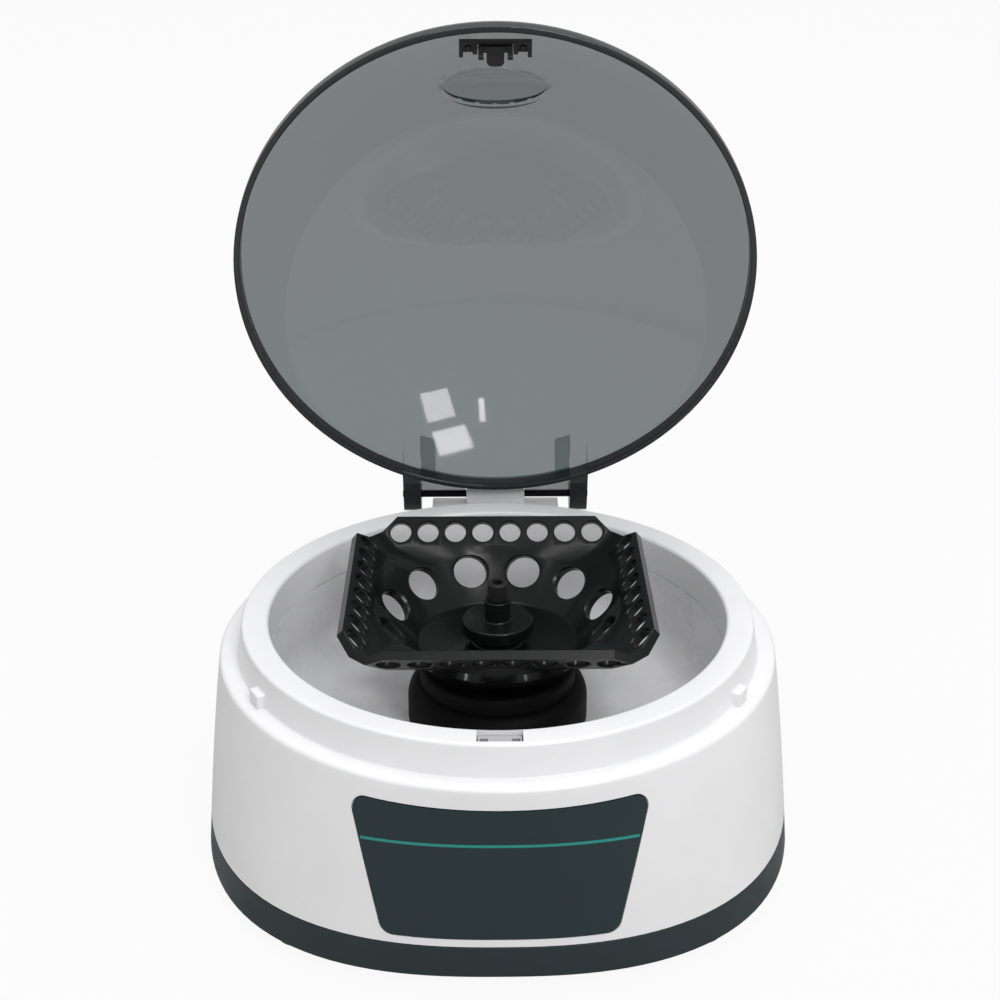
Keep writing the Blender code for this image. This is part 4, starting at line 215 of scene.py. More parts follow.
@dataclass(frozen=True)
class Finishes:
    """Every finish of the object."""

    case_white: Finish = Finish("case_white", "white_moulding", (0.80, 0.80, 0.81), 0.34)
    bowl_white: Finish = Finish("bowl_white", "chamber_white", (0.80, 0.80, 0.81), 0.30)
    receiver: Finish = Finish("receiver_grey_plastic", "receiver_grey", (0.40, 0.40, 0.41), 0.45)
    tray_slate: Finish = Finish(
        "tray_slate", "slate_moulding", (0.014, 0.026, 0.030), 0.46, relief=0.000012, mottle=0.06,
        ior=1.4,
    )
    panel_slate: Finish = Finish(
        "panel_slate", "slate_panel", (0.013, 0.026, 0.030), 0.42, grain_size=0.0003, mottle=0.05,
        ior=1.38,
    )
    stripe_teal: Finish = Finish("stripe_teal", "slate_panel", (0.010, 0.235, 0.205), 0.38)
    smoke: Finish = Finish(
        "smoked_clear", "smoked_lid", (0.012, 0.050, 0.056), 0.05, opacity=0.56,
        grain=Grain.POLISHED, relief=0.0000005, smudge=0.02, smudge_size=0.03,
    )
    # Near-black smoke for plastic seen along its thickness; on the grip recess's lower side wall it is a painted
    # shadow.
    smoke_edge_and_shadow: Finish = Finish(
        "smoked_edge_and_shadow", "smoked_lid", (0.004, 0.006, 0.007), 0.10, opacity=0.97,
        grain=Grain.POLISHED, relief=0.0000005, smudge=0.02,
    )
    smoke_floor: Finish = Finish(
        "smoked_floor", "smoked_lid", (0.008, 0.030, 0.034), 0.12, opacity=0.66,
        grain=Grain.POLISHED, relief=0.0000005, smudge=0.02,
    )
    smoke_thick: Finish = Finish(
        "smoked_thick", "smoked_lid", (0.010, 0.018, 0.021), 0.08, opacity=0.80,
        grain=Grain.POLISHED, relief=0.0000005, smudge=0.02,
    )
    rotor_black: Finish = Finish(
        "rotor_black", "black_moulding", (0.0040, 0.0046, 0.0044), 0.24, smudge=0.06,
        grain=Grain.POLISHED, relief=0.000002, mottle=0.10, smudge_size=0.02, ior=1.34,
    )
    matt_black: Finish = Finish("matt_black_plastic", "matt_black", (0.006, 0.006, 0.0065), 0.50)
    rubber: Finish = Finish(
        "boot_rubber", "black_rubber", (0.0022, 0.0020, 0.0022), 0.62, relief=0.00001, ior=1.22,
    )
    steel: Finish = Finish(
        "turned_steel", "bright_steel", (0.56, 0.56, 0.57), 0.26, metallic=1.0,
        grain=Grain.BRUSHED, grain_size=0.0002,
    )
    plated: Finish = Finish(
        "zinc_plate", "plated_steel", (0.47, 0.47, 0.49), 0.36, metallic=1.0, mottle=0.08,
    )
    # Bright steel coloured near black: painted shade on the hinge pin.
    shade_dark_steel: Finish = Finish(
        "steel_dark_for_shade", "bright_steel", (0.012, 0.012, 0.013), 0.34, metallic=1.0, mottle=0.06,
    )
    magnet: Finish = Finish("magnet_grey", "motor_iron", (0.14, 0.14, 0.15), 0.55, metallic=1.0)
    copper: Finish = Finish(
        "wound_copper", "copper_winding", (0.58, 0.24, 0.11), 0.34, metallic=1.0,
        grain=Grain.BRUSHED, grain_size=0.0005, relief=0.00006,
    )
    alloy: Finish = Finish(
        "drawn_aluminium", "aluminium", (0.66, 0.67, 0.68), 0.36, metallic=1.0,
        grain=Grain.BRUSHED,
    )
    board: Finish = Finish("board_lacquer", "board_green", (0.018, 0.11, 0.055), 0.32, coat=0.4)
    lead_red: Finish = Finish("lead_red", "red_lead", (0.42, 0.028, 0.02), 0.42)
    lead_blue: Finish = Finish("lead_blue", "blue_lead", (0.02, 0.065, 0.33), 0.42)
    lead_black: Finish = Finish("lead_black", "black_lead", (0.018, 0.018, 0.018), 0.42)


FINISHES = Finishes()


def new_piece(name: str, shape: bmesh.types.BMesh) -> bpy.types.Object:
    """An object from a finished shape.

    Args:
        name: Name of the object.
        shape: The shape, which is freed.

    Returns:
        The object, in the scene.
    """
    mesh = bpy.data.meshes.new(name)
    bmesh.ops.recalc_face_normals(shape, faces=shape.faces)
    shape.to_mesh(mesh)
    shape.free()
    item = bpy.data.objects.new(name, mesh)
    bpy.context.scene.collection.objects.link(item)
    return item


def filleted(corners: Sequence[Corner], closed: bool = False, steps: int = FILLET_STEPS) -> list[Pair]:
    """Points along a path whose corners are rounded.

    Args:
        corners: Corners as two coordinates and a radius, which may be zero.
        closed: Whether the path returns to its start.
        steps: Parts of each arc.

    Returns:
        The points of the path.
    """
    points: list[Pair] = []
    last = len(corners) - 1
    for k, (x, y, radius) in enumerate(corners):
        if radius <= 0 or (not closed and k in (0, last)):
            points.append((x, y))
            continue
        here = Vector((x, y))
        before = (Vector(corners[k - 1][:2]) - here).normalized()
        after = (Vector(corners[(k + 1) % len(corners)][:2]) - here).normalized()
        half = before.angle(after) / 2
        centre = here + (before + after).normalized() * radius / math.sin(half)
        reach = radius / math.tan(half)
        first, final = here + before * reach - centre, here + after * reach - centre
        for j in range(steps + 1):
            points.append(tuple(centre + first.lerp(final, j / steps).normalized() * radius))
    return points


def lathe(name: str, profile: Sequence[Pair], closed: bool, steps: int = ROUND_STEPS) -> bpy.types.Object:
    """A profile turned about the Z axis.

    Args:
        name: Name of the object.
        profile: Points as radius and height.
        closed: Whether the profile returns to its start; if not, it starts and ends on the axis.
        steps: Parts of the circle.

    Returns:
        The turned solid.
    """
    shape = bmesh.new()
    spots = [shape.verts.new((radius, 0, height)) for radius, height in profile]
    edges = [shape.edges.new(pair) for pair in zip(spots, spots[1:])]
    if closed:
        edges.append(shape.edges.new((spots[-1], spots[0])))
    bmesh.ops.spin(
        shape, geom=spots + edges, axis=UP, cent=(0, 0, 0), angle=math.tau, steps=steps, use_merge=True,
    )
    bmesh.ops.remove_doubles(shape, verts=shape.verts, dist=WELD)
    return new_piece(name, shape)


def loft(name: str, rings: Sequence[Sequence[Point]], closed: bool) -> bpy.types.Object:
    """A skin through rings of equal count.

    Args:
        name: Name of the object.
        rings: The rings in order.
        closed: Whether the last ring joins the first; if not, both ends are capped.

    Returns:
        The lofted solid.
    """
    shape = bmesh.new()
    rows = [[shape.verts.new(point) for point in ring] for ring in rings]
    pairs = list(zip(rows, rows[1:]))
    if closed:
        pairs.append((rows[-1], rows[0]))
    for lower, upper in pairs:
        for k in range(len(lower)):
            after = (k + 1) % len(lower)
            shape.faces.new((lower[k], lower[after], upper[after], upper[k]))
    if not closed:
        shape.faces.new(rows[0])
        shape.faces.new(rows[-1])
    return new_piece(name, shape)


def prism(name: str, outline: Sequence[Pair], low: float, high: float, way: Way) -> bpy.types.Object:
    """A flat outline swept along an axis.

    Args:
        name: Name of the object.
        outline: Points in the two other axes, in the order X, Y, Z.
        low: Where the sweep starts.
        high: Where it ends.
        way: The axis of the sweep.

    Returns:
        The swept solid.
    """
    rings = []
    for level in (low, high):
        ring = []
        for pair in outline:
            spot = list(pair)
            spot.insert(way.value, level)
            ring.append(tuple(spot))
        rings.append(ring)
    return loft(name, rings, closed=False)


def block(name: str, low: Point, high: Point) -> bpy.types.Object:
    """A block between two corners.

    Args:
        name: Name of the object.
        low: Lowest corner.
        high: Highest corner.

    Returns:
        The block.
    """
    shape = bmesh.new()
    bmesh.ops.create_cube(shape, size=1)
    low, high = Vector(low), Vector(high)
    bmesh.ops.scale(shape, vec=high - low, verts=shape.verts)
    bmesh.ops.translate(shape, vec=(low + high) / 2, verts=shape.verts)
    return new_piece(name, shape)


def rod(name: str, start: Point, end: Point, radius: float, steps: int = SMALL_STEPS) -> bpy.types.Object:
    """A round bar between two points.

    Args:
        name: Name of the object.
        start: Centre of one end.
        end: Centre of the other end.
        radius: Radius of the bar.
        steps: Parts of the circle.

    Returns:
        The bar.
    """
    shape = bmesh.new()
    start, end = Vector(start), Vector(end)
    along = end - start
    spot = Matrix.Translation((start + end) / 2) @ along.to_track_quat("Z", "Y").to_matrix().to_4x4()
    bmesh.ops.create_cone(
        shape, cap_ends=True, segments=steps, radius1=radius, radius2=radius, depth=along.length, matrix=spot,
    )
    return new_piece(name, shape)


def drill(
    name: str, profile: Sequence[Pair], spot: Point, along: Point, steps: int = SMALL_STEPS,
) -> bpy.types.Object:
    """A turned cutter, set at a point with its axis along a direction.

    Args:
        name: Name of the object.
        profile: Points as radius and height, from the axis back to the axis.
        spot: Where the profile's height zero comes to lie.
        along: Direction of the axis.
        steps: Parts of the circle.

    Returns:
        The cutter.
    """
    item = lathe(name, profile, closed=False, steps=steps)
    turn = Vector(along).to_track_quat("Z", "Y").to_matrix().to_4x4()
    item.data.transform(Matrix.Translation(spot) @ turn)
    return item


def settle(item: bpy.types.Object) -> bpy.types.Object:
    """Apply the modifiers of an object.

    Args:
        item: The object.

    Returns:
        The same object, with a plain mesh.
    """
    graph = bpy.context.evaluated_depsgraph_get()
    mesh = bpy.data.meshes.new_from_object(item.evaluated_get(graph), depsgraph=graph)
    old = item.data
    item.modifiers.clear()
    item.data = mesh
    bpy.data.meshes.remove(old)
    return item


def work(item: bpy.types.Object, how: Cut, tools: Iterable[bpy.types.Object]) -> bpy.types.Object:
    """Work on a solid with others, which are then gone.

    Args:
        item: The solid to work on.
        how: What the others do to it.
        tools: The other solids.

    Returns:
        The same object.
    """
    used = list(tools)
    for tool in used:
        step = item.modifiers.new(tool.name, "BOOLEAN")
        step.operation = how.value
        step.solver = "EXACT"
        step.object = tool
    settle(item)
    for tool in used:
        mesh = tool.data
        bpy.data.objects.remove(tool)
        bpy.data.meshes.remove(mesh)
    return item


def soften(item: bpy.types.Object, width: float, segments: int = 2) -> bpy.types.Object:
    """Round the sharp edges of a solid.

    Args:
        item: The solid.
        width: Width of the rounding.
        segments: Parts of the rounding.

    Returns:
        The same object.
    """
    step = item.modifiers.new("edges", "BEVEL")
    step.width = width
    step.segments = segments
    step.limit_method = "ANGLE"
    step.angle_limit = SHARP_ANGLE
    return settle(item)


def shade(item: bpy.types.Object, weighted: bool = False) -> bpy.types.Object:
    """Shade a solid smooth, apart from its sharp edges.

    Args:
        item: The solid.
        weighted: Whether large faces stay flat beside their rounded edges.

    Returns:
        The same object.
    """
    item.data.shade_smooth()
    item.data.set_sharp_from_angle(angle=SHARP_ANGLE)
    if weighted:
        step = item.modifiers.new("flat_faces", "WEIGHTED_NORMAL")
        step.keep_sharp = True
        settle(item)
    return item


def dress(item: bpy.types.Object, finish: Finish, body: str, *nodes: str) -> bpy.types.Object:
    """Give a piece its finish, its body and the nodes it stands for.

    Args:
        item: The piece.
        finish: Its finish.
        body: The body it moves with.
        nodes: The nodes that it replaces.

    Returns:
        The same object.
    """
    if not item.data.materials:
        item.data.materials.append(finish.material())
    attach(item, body)
    if nodes:
        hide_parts(*nodes)
    LOG.info("%s rides on %s", item.name, body)
    return item


def four(x: float, y: float) -> list[Pair]:
    """The four places at plus and minus x and y."""
    return [(x, y), (-x, y), (-x, -y), (x, -y)]


def polar(radius: float, angle: float, height: float) -> Point:
    """A point from its radius, angle and height."""
    return (radius * math.cos(angle), radius * math.sin(angle), height)


def cross_recess(spot: Point, along: Point, radius: float, deep: float) -> list[bpy.types.Object]:
    """Cutters for the cross in a screw's head.

    Args:
        spot: Centre of the head's face.
        along: Direction out of the face.
        radius: Half length of the cross.
        deep: Depth of the cross.

    Returns:
        The two cutters.
    """
    turn = Vector(along).to_track_quat("Z", "Y").to_matrix().to_4x4()
    wide = radius / 3
    cutters = []
    for half_x, half_y in ((radius, wide), (wide, radius)):
        cutter = block("cross", (-half_x, -half_y, -deep), (half_x, half_y, OVERRUN))
        for vertex in cutter.data.vertices:
            if vertex.co.z < 0:
                vertex.co.x *= 0.5
                vertex.co.y *= 0.5
        cutter.data.transform(Matrix.Translation(spot) @ turn)
        cutters.append(cutter)
    return cutters


@dataclass(frozen=True)
class Form:
    """Outer form that the pieces of the case share."""

    base_half: float = 0.0910
    low_half: float = 0.0892
    mid_half: float = 0.0875
    shelf_half: float = 0.0856
    low_z: float = 0.0240
    mid_z: float = 0.0420
    shelf_z: float = 0.0582
    base_power: float = 2.54
    round_power: float = 2.0
    wall: float = 0.0022
    tray_top_z: float = 0.0099

    def half(self, height: float) -> float:
        """Half width at a height, on a smooth curve through the named ones.

        Args:
            height: Height above the tray's underside.

        Returns:
            The half width.
        """
        rows = (
            (0.0, self.base_half), (self.low_z, self.low_half), (self.mid_z, self.mid_half),
            (self.shelf_z, self.shelf_half),
        )
        total = 0.0
        for z, half in rows:
            part = half
            for other, _ in rows:
                if other != z:
                    part *= (height - other) / (z - other)
            total += part
        return total

    def power(self, height: float) -> float:
        """Squareness at a height: two is a circle."""
        share = min(1.0, max(0.0, 1 - height / self.shelf_z))
        return self.round_power + (self.base_power - self.round_power) * share

    def ring(self, half: float, height: float) -> list[Point]:
        """Points round the case at a height.

        Args:
            half: Half width of the ring.
            height: Its height, which sets its squareness too.

        Returns:
            Evenly turned points of the ring.
        """
        power = self.power(height)
        points = []
        for k in range(ROUND_STEPS):
            angle = math.tau * k / ROUND_STEPS
            across, along = abs(math.cos(angle)), abs(math.sin(angle))
            radius = half / (across**power + along**power) ** (1 / power)
            points.append(polar(radius, angle, height))
        return points

    def wall_path(self, low: float, high: float, offset: float, parts: int = 8) -> list[Corner]:
        """Corners up the outer wall, moved out by an offset.

        Args:
            low: Lowest height.
            high: Highest height.
            offset: Distance outside the wall.
            parts: Number of parts.

        Returns:
            Corners as half width, height and no rounding.
        """
        heights = [low + (high - low) * k / parts for k in range(parts + 1)]
        return [(self.half(z) + offset, z, 0.0) for z in heights]

    def skin(self, name: str, path: Sequence[Pair], closed: bool) -> bpy.types.Object:
        """A loft round the case along a path of half widths and heights."""
        return loft(name, [self.ring(half, height) for half, height in path], closed)

    def slab(self, name: str, outline: Sequence[Pair], inner: float, outer: float) -> bpy.types.Object:
        """A curved sheet that follows the front wall inside an outline.

        Args:
            name: Name of the object.
            outline: The outline seen from the front, as X and Z.
            inner: Offset of its back from the wall.
            outer: Offset of its face from the wall.

        Returns:
            The sheet.
        """
        low = min(z for _, z in outline) - 2 * GAP
        high = max(z for _, z in outline) + 2 * GAP
        path = self.wall_path(low, high, outer) + self.wall_path(low, high, inner)[::-1]
        sheet = self.skin(name, [corner[:2] for corner in path], closed=True)
        front = prism(name + "_front", outline, -self.base_half - 2 * OVERRUN, -self.base_half / 2, Way.Y)
        return work(sheet, Cut.SHARED, [front])


FORM = Form()


@dataclass
class Housing:
    """White upper case with its shelf, the ring round the chamber and the two tabs."""

    ring_top_z: float = 0.0680
    ring_foot_r: float = 0.0801
    ring_outer_r: float = 0.0785
    ring_inner_r: float = 0.0703
    ring_round: float = 0.0011
    foot_round: float = 0.0007
    shelf_round: float = 0.0013
    lip_z: float = 0.0560
    tab_angle: float = math.radians(-30)
    tab_radius: float = 0.0799
    tab_long: float = 0.0060
    tab_deep: float = 0.0042
    tab_tall: float = 0.0042
    slot_half: float = 0.00635
    slot_front_y: float = -0.0767
    slot_rear_y: float = -0.0710
    slot_low_z: float = 0.0597
    notch_half: float = 0.0313
    notch_top_z: float = 0.0310
    notch_inner_y: float = 0.0760
    screw_at: float = 0.0544
    boss_r: float = 0.0036

    def build(self) -> None:
        """Build and dress the housing."""
        low = FORM.tray_top_z + GAP
        wall = FORM.wall
        outer = FORM.wall_path(low, FORM.shelf_z - 2 * self.shelf_round, 0.0, 14)
        over = [
            (FORM.shelf_half, FORM.shelf_z, self.shelf_round),
            (self.ring_foot_r, FORM.shelf_z, self.foot_round),
            (self.ring_outer_r, self.ring_top_z, self.ring_round),
            (self.ring_inner_r, self.ring_top_z, self.ring_round),
            (self.ring_inner_r, self.lip_z, 0.0),
            (self.ring_inner_r + wall, self.lip_z, 0.0),
            (self.ring_inner_r + wall, self.ring_top_z - wall, 0.0),
            (self.ring_outer_r - wall, self.ring_top_z - wall, 0.0),
            (self.ring_foot_r - wall, self.lip_z, 0.0),
        ]
        inner = FORM.wall_path(low, self.lip_z, -wall)[::-1]
        item = FORM.skin("case_housing", filleted(outer + over + inner), closed=True)
        work(item, Cut.ADD, [*self._tabs(), *self._bosses(low)])
        work(item, Cut.AWAY, [
            block("slot", (-self.slot_half, self.slot_front_y, self.slot_low_z),
                  (self.slot_half, self.slot_rear_y, self.ring_top_z + OVERRUN)),
            block("notch", (-self.notch_half, self.notch_inner_y, 0),
                  (self.notch_half, FORM.base_half + OVERRUN, self.notch_top_z)),
            FrontPanel().pocket(),
        ])
        dress(shade(item), FINISHES.case_white, "base", "upper_housing")

    def _tabs(self) -> list[bpy.types.Object]:
        """The two tabs on the shelf.

        Returns:
            One tab at each side.
        """
        tabs = []
        for side in (-1, 1):
            half_deep, half_long = self.tab_deep / 2, self.tab_long / 2
            tab = block("tab", (-half_deep, -half_long, -GAP), (half_deep, half_long, self.tab_tall))
            x, y, z = polar(self.tab_radius, self.tab_angle, FORM.shelf_z)
            turn = Matrix.Rotation(side * self.tab_angle, 4, "Z")
            tab.data.transform(Matrix.Translation((side * x, y, z)) @ turn)
            tabs.append(soften(tab, 0.0006, 3))
        return tabs

    def _bosses(self, low: float) -> list[bpy.types.Object]:
        """Long bosses inside the case for its screws.

        Args:
            low: Height of the case's lower edge.

        Returns:
            The four bosses.
        """
        return [
            rod("boss", (x, y, low + GAP), (x, y, self.lip_z + GAP), self.boss_r)
            for x, y in four(self.screw_at, self.screw_at)
        ]


@dataclass
class FrontPanel:
    """Slate inlay in the front wall, with a plain teal stripe."""

    top_z: float = 0.0520
    low_z: float = 0.0128
    top_half: float = 0.0412
    low_half: float = 0.0326
    corner: float = 0.0040
    sunk: float = 0.0006
    proud: float = 0.0002
    stripe_z: float = 0.0418
    stripe_drop: float = 0.0014
    stripe_wide: float = 0.0008
    stripe_in: float = 0.0008
    stripe_proud: float = 0.00006
    stripe_parts: int = 24

    def outline(self, grow: float) -> list[Pair]:
        """Rounded trapezoid of the panel.

        Args:
            grow: Distance by which it is larger all round.

        Returns:
            The outline, as X and Z.
        """
        top, low = self.top_z + grow, self.low_z - grow
        wide, narrow = self.top_half + grow, self.low_half + grow
        corners = [
            (-wide, top, self.corner), (-narrow, low, self.corner), (narrow, low, self.corner),
            (wide, top, self.corner),
        ]
        return filleted(corners, closed=True, steps=8)

    def pocket(self) -> bpy.types.Object:
        """Cutter for the shallow pocket that the panel lies in."""
        return FORM.slab("panel_pocket", self.outline(GAP), -self.sunk - GAP, OVERRUN)

    def _stripe_outline(self) -> list[Pair]:
        """A thin band across the panel that droops a little at both ends.

        Returns:
            The outline, as X and Z.
        """
        share = (self.stripe_z - self.low_z) / (self.top_z - self.low_z)
        half = self.low_half + share * (self.top_half - self.low_half) - self.stripe_in
        middle = []
        for k in range(self.stripe_parts + 1):
            along = 2 * k / self.stripe_parts - 1
            middle.append((along * half, self.stripe_z - self.stripe_drop * along**2))
        upper = [(x, z + self.stripe_wide / 2) for x, z in middle]
        lower = [(x, z - self.stripe_wide / 2) for x, z in middle]
        return upper + lower[::-1]

    def build(self) -> None:
        """Build and dress the panel and its stripe."""
        panel = FORM.slab("panel_sheet", self.outline(0.0), -self.sunk, self.proud)
        dress(shade(panel), FINISHES.panel_slate, "base", "front_panel")
        face = self.proud + self.stripe_proud
        stripe = FORM.slab("panel_stripe", self._stripe_outline(), self.proud - GAP / 2, face)
        dress(shade(stripe), FINISHES.stripe_teal, "base")


@dataclass
class Tray:
    """Slate base tray with its pillars, vents, feet and case screws."""

    floor: float = 0.0022
    edge: float = 0.0009
    top_round: float = 0.0003
    vent_long: float = 0.0180
    vent_wide: float = 0.0024
    vent_pitch: float = 0.0052
    vent_count: int = 5
    vent_y: float = -0.0440
    screw_at: float = 0.0544
    pillar_r: float = 0.0046
    bowl_post_at: float = 0.0400
    bowl_pillar_z: float = 0.0180
    head_r: float = 0.0031
    head_sunk: float = 0.0008
    head_tall: float = 0.0024
    shank_r: float = 0.0015
    tip_z: float = 0.0230
    foot_x: float = 0.0580
    foot_y: float = 0.0655
    foot_r: float = 0.0070
    foot_proud: float = 0.0040
    foot_round: float = 0.0010
    stem_r: float = 0.0026
    barb_r: float = 0.0033
    barb_tall: float = 0.0016

    def build(self) -> None:
        """Build and dress the tray and what is fixed in it."""
        self._shell()
        self._feet()
        self._screws()

    def _shell(self) -> None:
        """The tray itself."""
        top = FORM.tray_top_z
        wall = FORM.wall
        path = [(0.0001, 0.0, 0.0), (FORM.base_half, 0.0, self.edge)]
        path += FORM.wall_path(2 * self.edge, top - 2 * self.top_round, 0.0, 4)
        path += [
            (FORM.half(top), top, self.top_round), (FORM.half(top) - wall, top, 0.0),
            (FORM.half(self.floor) - wall, self.floor, 0.0), (0.0001, self.floor, 0.0),
        ]
        item = FORM.skin("case_tray", filleted(path), closed=False)
        pillars = [
            rod("pillar", (x, y, self.floor - GAP), (x, y, top), self.pillar_r)
            for x, y in four(self.screw_at, self.screw_at)
        ]
        pillars += [
            rod("pillar", (x, y, self.floor - GAP), (x, y, self.bowl_pillar_z), self.pillar_r)
            for x, y in four(self.bowl_post_at, self.bowl_post_at)
        ]
        work(item, Cut.ADD, pillars)
        well = self.head_sunk + self.head_tall + GAP
        cutters = []
        for x, y in four(self.screw_at, self.screw_at):
            cutters.append(rod("well", (x, y, -OVERRUN), (x, y, well), self.head_r + GAP))
            cutters.append(rod("way", (x, y, -OVERRUN), (x, y, top + OVERRUN), self.shank_r + GAP))
        for x, y in four(self.foot_x, self.foot_y):
            cutters.append(rod("way", (x, y, -OVERRUN), (x, y, OVERRUN), self.stem_r + GAP))
        work(item, Cut.AWAY, cutters)
        work(item, Cut.AWAY, self._vents())
        dress(shade(item), FINISHES.tray_slate, "base", "base_tray")

    def _vents(self) -> list[bpy.types.Object]:
        """Cutters for the cooling slots, with round ends.

        Returns:
            One cutter for each slot.
        """
        half_wide, half_long = self.vent_wide / 2, self.vent_long / 2
        first = -self.vent_pitch * (self.vent_count - 1) / 2
        cutters = []
        for k in range(self.vent_count):
            x = first + k * self.vent_pitch
            corners = [
                (x - half_wide, self.vent_y - half_long, half_wide * 0.98),
                (x + half_wide, self.vent_y - half_long, half_wide * 0.98),
                (x + half_wide, self.vent_y + half_long, half_wide * 0.98),
                (x - half_wide, self.vent_y + half_long, half_wide * 0.98),
            ]
            cutters.append(prism("vent", filleted(corners, True), -OVERRUN, self.floor + OVERRUN, Way.Z))
        return cutters

    def _feet(self) -> None:
        """Four turned rubber feet."""
        low = self.floor + GAP
        profile = filleted([
            (0.0, low + self.barb_tall, 0.0), (self.stem_r, low + self.barb_tall, 0.0),
            (self.barb_r, low, 0.0), (self.stem_r, low, 0.0), (self.stem_r, -GAP, 0.0),
            (self.foot_r, -GAP, 0.0004), (self.foot_r, -self.foot_proud, self.foot_round),
            (0.0035, -self.foot_proud, 0.0), (0.0030, 0.0006 - self.foot_proud, 0.0),
            (0.0, 0.0006 - self.foot_proud, 0.0),
        ])
        for end, y in (("front", -self.foot_y), ("rear", self.foot_y)):
            for side, x in (("left", -self.foot_x), ("right", self.foot_x)):
                item = lathe(f"rubber_foot_{end}_{side}", profile, closed=False, steps=MID_STEPS)
                item.data.transform(Matrix.Translation((x, y, 0)))
                dress(shade(item), FINISHES.rubber, "base", f"foot_{end}_{side}")

    def _screws(self) -> None:
        """Four case screws with a cross in the head."""
        profile = filleted([
            (0.0, self.head_sunk, 0.0), (self.head_r, self.head_sunk, 0.0005),
            (self.head_r, self.head_sunk + self.head_tall, 0.0),
            (self.shank_r, self.head_sunk + self.head_tall, 0.0), (self.shank_r, self.tip_z, 0.0),
            (0.0, self.tip_z, 0.0),
        ])
        for k, (x, y) in enumerate(four(self.screw_at, self.screw_at)):
            item = lathe(f"tray_screw_{k + 1}", profile, closed=False, steps=SMALL_STEPS)
            work(item, Cut.AWAY, cross_recess((0, 0, self.head_sunk), (0, 0, -1), 0.0018, 0.0012))
            item.data.transform(Matrix.Translation((x, y, 0)))
            dress(shade(item), FINISHES.steel, "base", f"case_screw_{k + 1}")


@dataclass
class Chamber:
    """Pale bowl, the rubber boot over the motor, and the latch receiver in the ring."""

    top_z: float = 0.0557
    wall_r: float = 0.0703
    floor_z: float = 0.0300
    bend_r: float = 0.0100
    hole_r: float = 0.0230
    post_at: float = 0.0400
    post_r: float = 0.0036
    post_low_z: float = 0.0183
    peg_r: float = 0.0016
    peg_low_z: float = 0.0130
    boot_top_z: float = 0.0490
    boot_upper_r: float = 0.0243
    boot_flange_r: float = 0.02825
    boot_flange_z: float = 0.0375
    boot_shoulder_z: float = 0.0436
    boot_inner_r: float = 0.0213
    boot_roof: float = 0.0032
    boot_hole_r: float = 0.0032
    boot_round: float = 0.0014
    slot_half: float = 0.00605
    slot_front_y: float = -0.0764
    slot_rear_y: float = -0.0713
    slot_low_z: float = 0.0600
    slot_top_z: float = 0.0665
    hole_inner_x: float = 0.0033
    hole_outer_x: float = 0.0055
    hole_front_y: float = -0.0759
    hole_rear_y: float = -0.0727

    def build(self) -> None:
        """Build and dress the pieces of the chamber."""
        self._bowl()
        self._boot()
        self._receiver()

    def _bowl(self) -> None:
        """The bowl, with the pegs it stands on."""
        wall = FORM.wall
        profile = filleted([
            (self.wall_r + wall, self.top_z, 0.0),
            (self.wall_r + wall, self.floor_z - wall, self.bend_r + wall),
            (self.hole_r, self.floor_z - wall, 0.0), (self.hole_r, self.floor_z, 0.0005),
            (self.wall_r, self.floor_z, self.bend_r), (self.wall_r, self.top_z, 0.0),
        ], closed=True, steps=10)
        item = lathe("chamber_liner", profile, closed=True)
        posts = []
        for x, y in four(self.post_at, self.post_at):
            posts.append(rod("post", (x, y, self.post_low_z), (x, y, self.floor_z - wall / 2), self.post_r))
            posts.append(rod("peg", (x, y, self.peg_low_z), (x, y, self.post_low_z + wall), self.peg_r))
        work(item, Cut.ADD, posts)
        dress(shade(item), FINISHES.bowl_white, "base", "chamber_bowl")

    def _boot(self) -> None:
        """The boot, with its rounded shoulder."""
        rise = self.boot_shoulder_z - self.boot_flange_z
        width = self.boot_flange_r - self.boot_upper_r
        shoulder = []
        for k in range(11):
            angle = math.pi / 2 * (1 - k / 10)
            shoulder.append((
                self.boot_upper_r + width * math.cos(angle),
                self.boot_flange_z + rise * math.sin(angle), 0.0,
            ))
        low = self.floor_z + GAP
        path = [(self.boot_upper_r, self.boot_top_z, self.boot_round)] + shoulder
        path += [
            (self.boot_flange_r, low, 0.0006), (self.boot_inner_r, low, 0.0),
            (self.boot_inner_r, self.boot_top_z - self.boot_roof, 0.0),
            (self.boot_hole_r, self.boot_top_z - self.boot_roof, 0.0),
            (self.boot_hole_r, self.boot_top_z, 0.0004),
        ]
        item = lathe("motor_cover", filleted(path, closed=True), closed=True)
        dress(shade(item), FINISHES.rubber, "base", "motor_boot")

    def _receiver(self) -> None:
        """The grey insert that the latch drops into."""
        item = block(
            "latch_socket", (-self.slot_half, self.slot_front_y, self.slot_low_z),
            (self.slot_half, self.slot_rear_y, self.slot_top_z),
        )
        holes = []
        for side in (-1, 1):
            near, far = sorted((side * self.hole_inner_x, side * self.hole_outer_x))
            holes.append(block(
                "hole", (near, self.hole_front_y, self.slot_low_z - OVERRUN),
                (far, self.hole_rear_y, self.slot_top_z + OVERRUN),
            ))
        work(item, Cut.AWAY, holes)
        dress(shade(soften(item, 0.0002), True), FINISHES.receiver, "base", "latch_receiver")


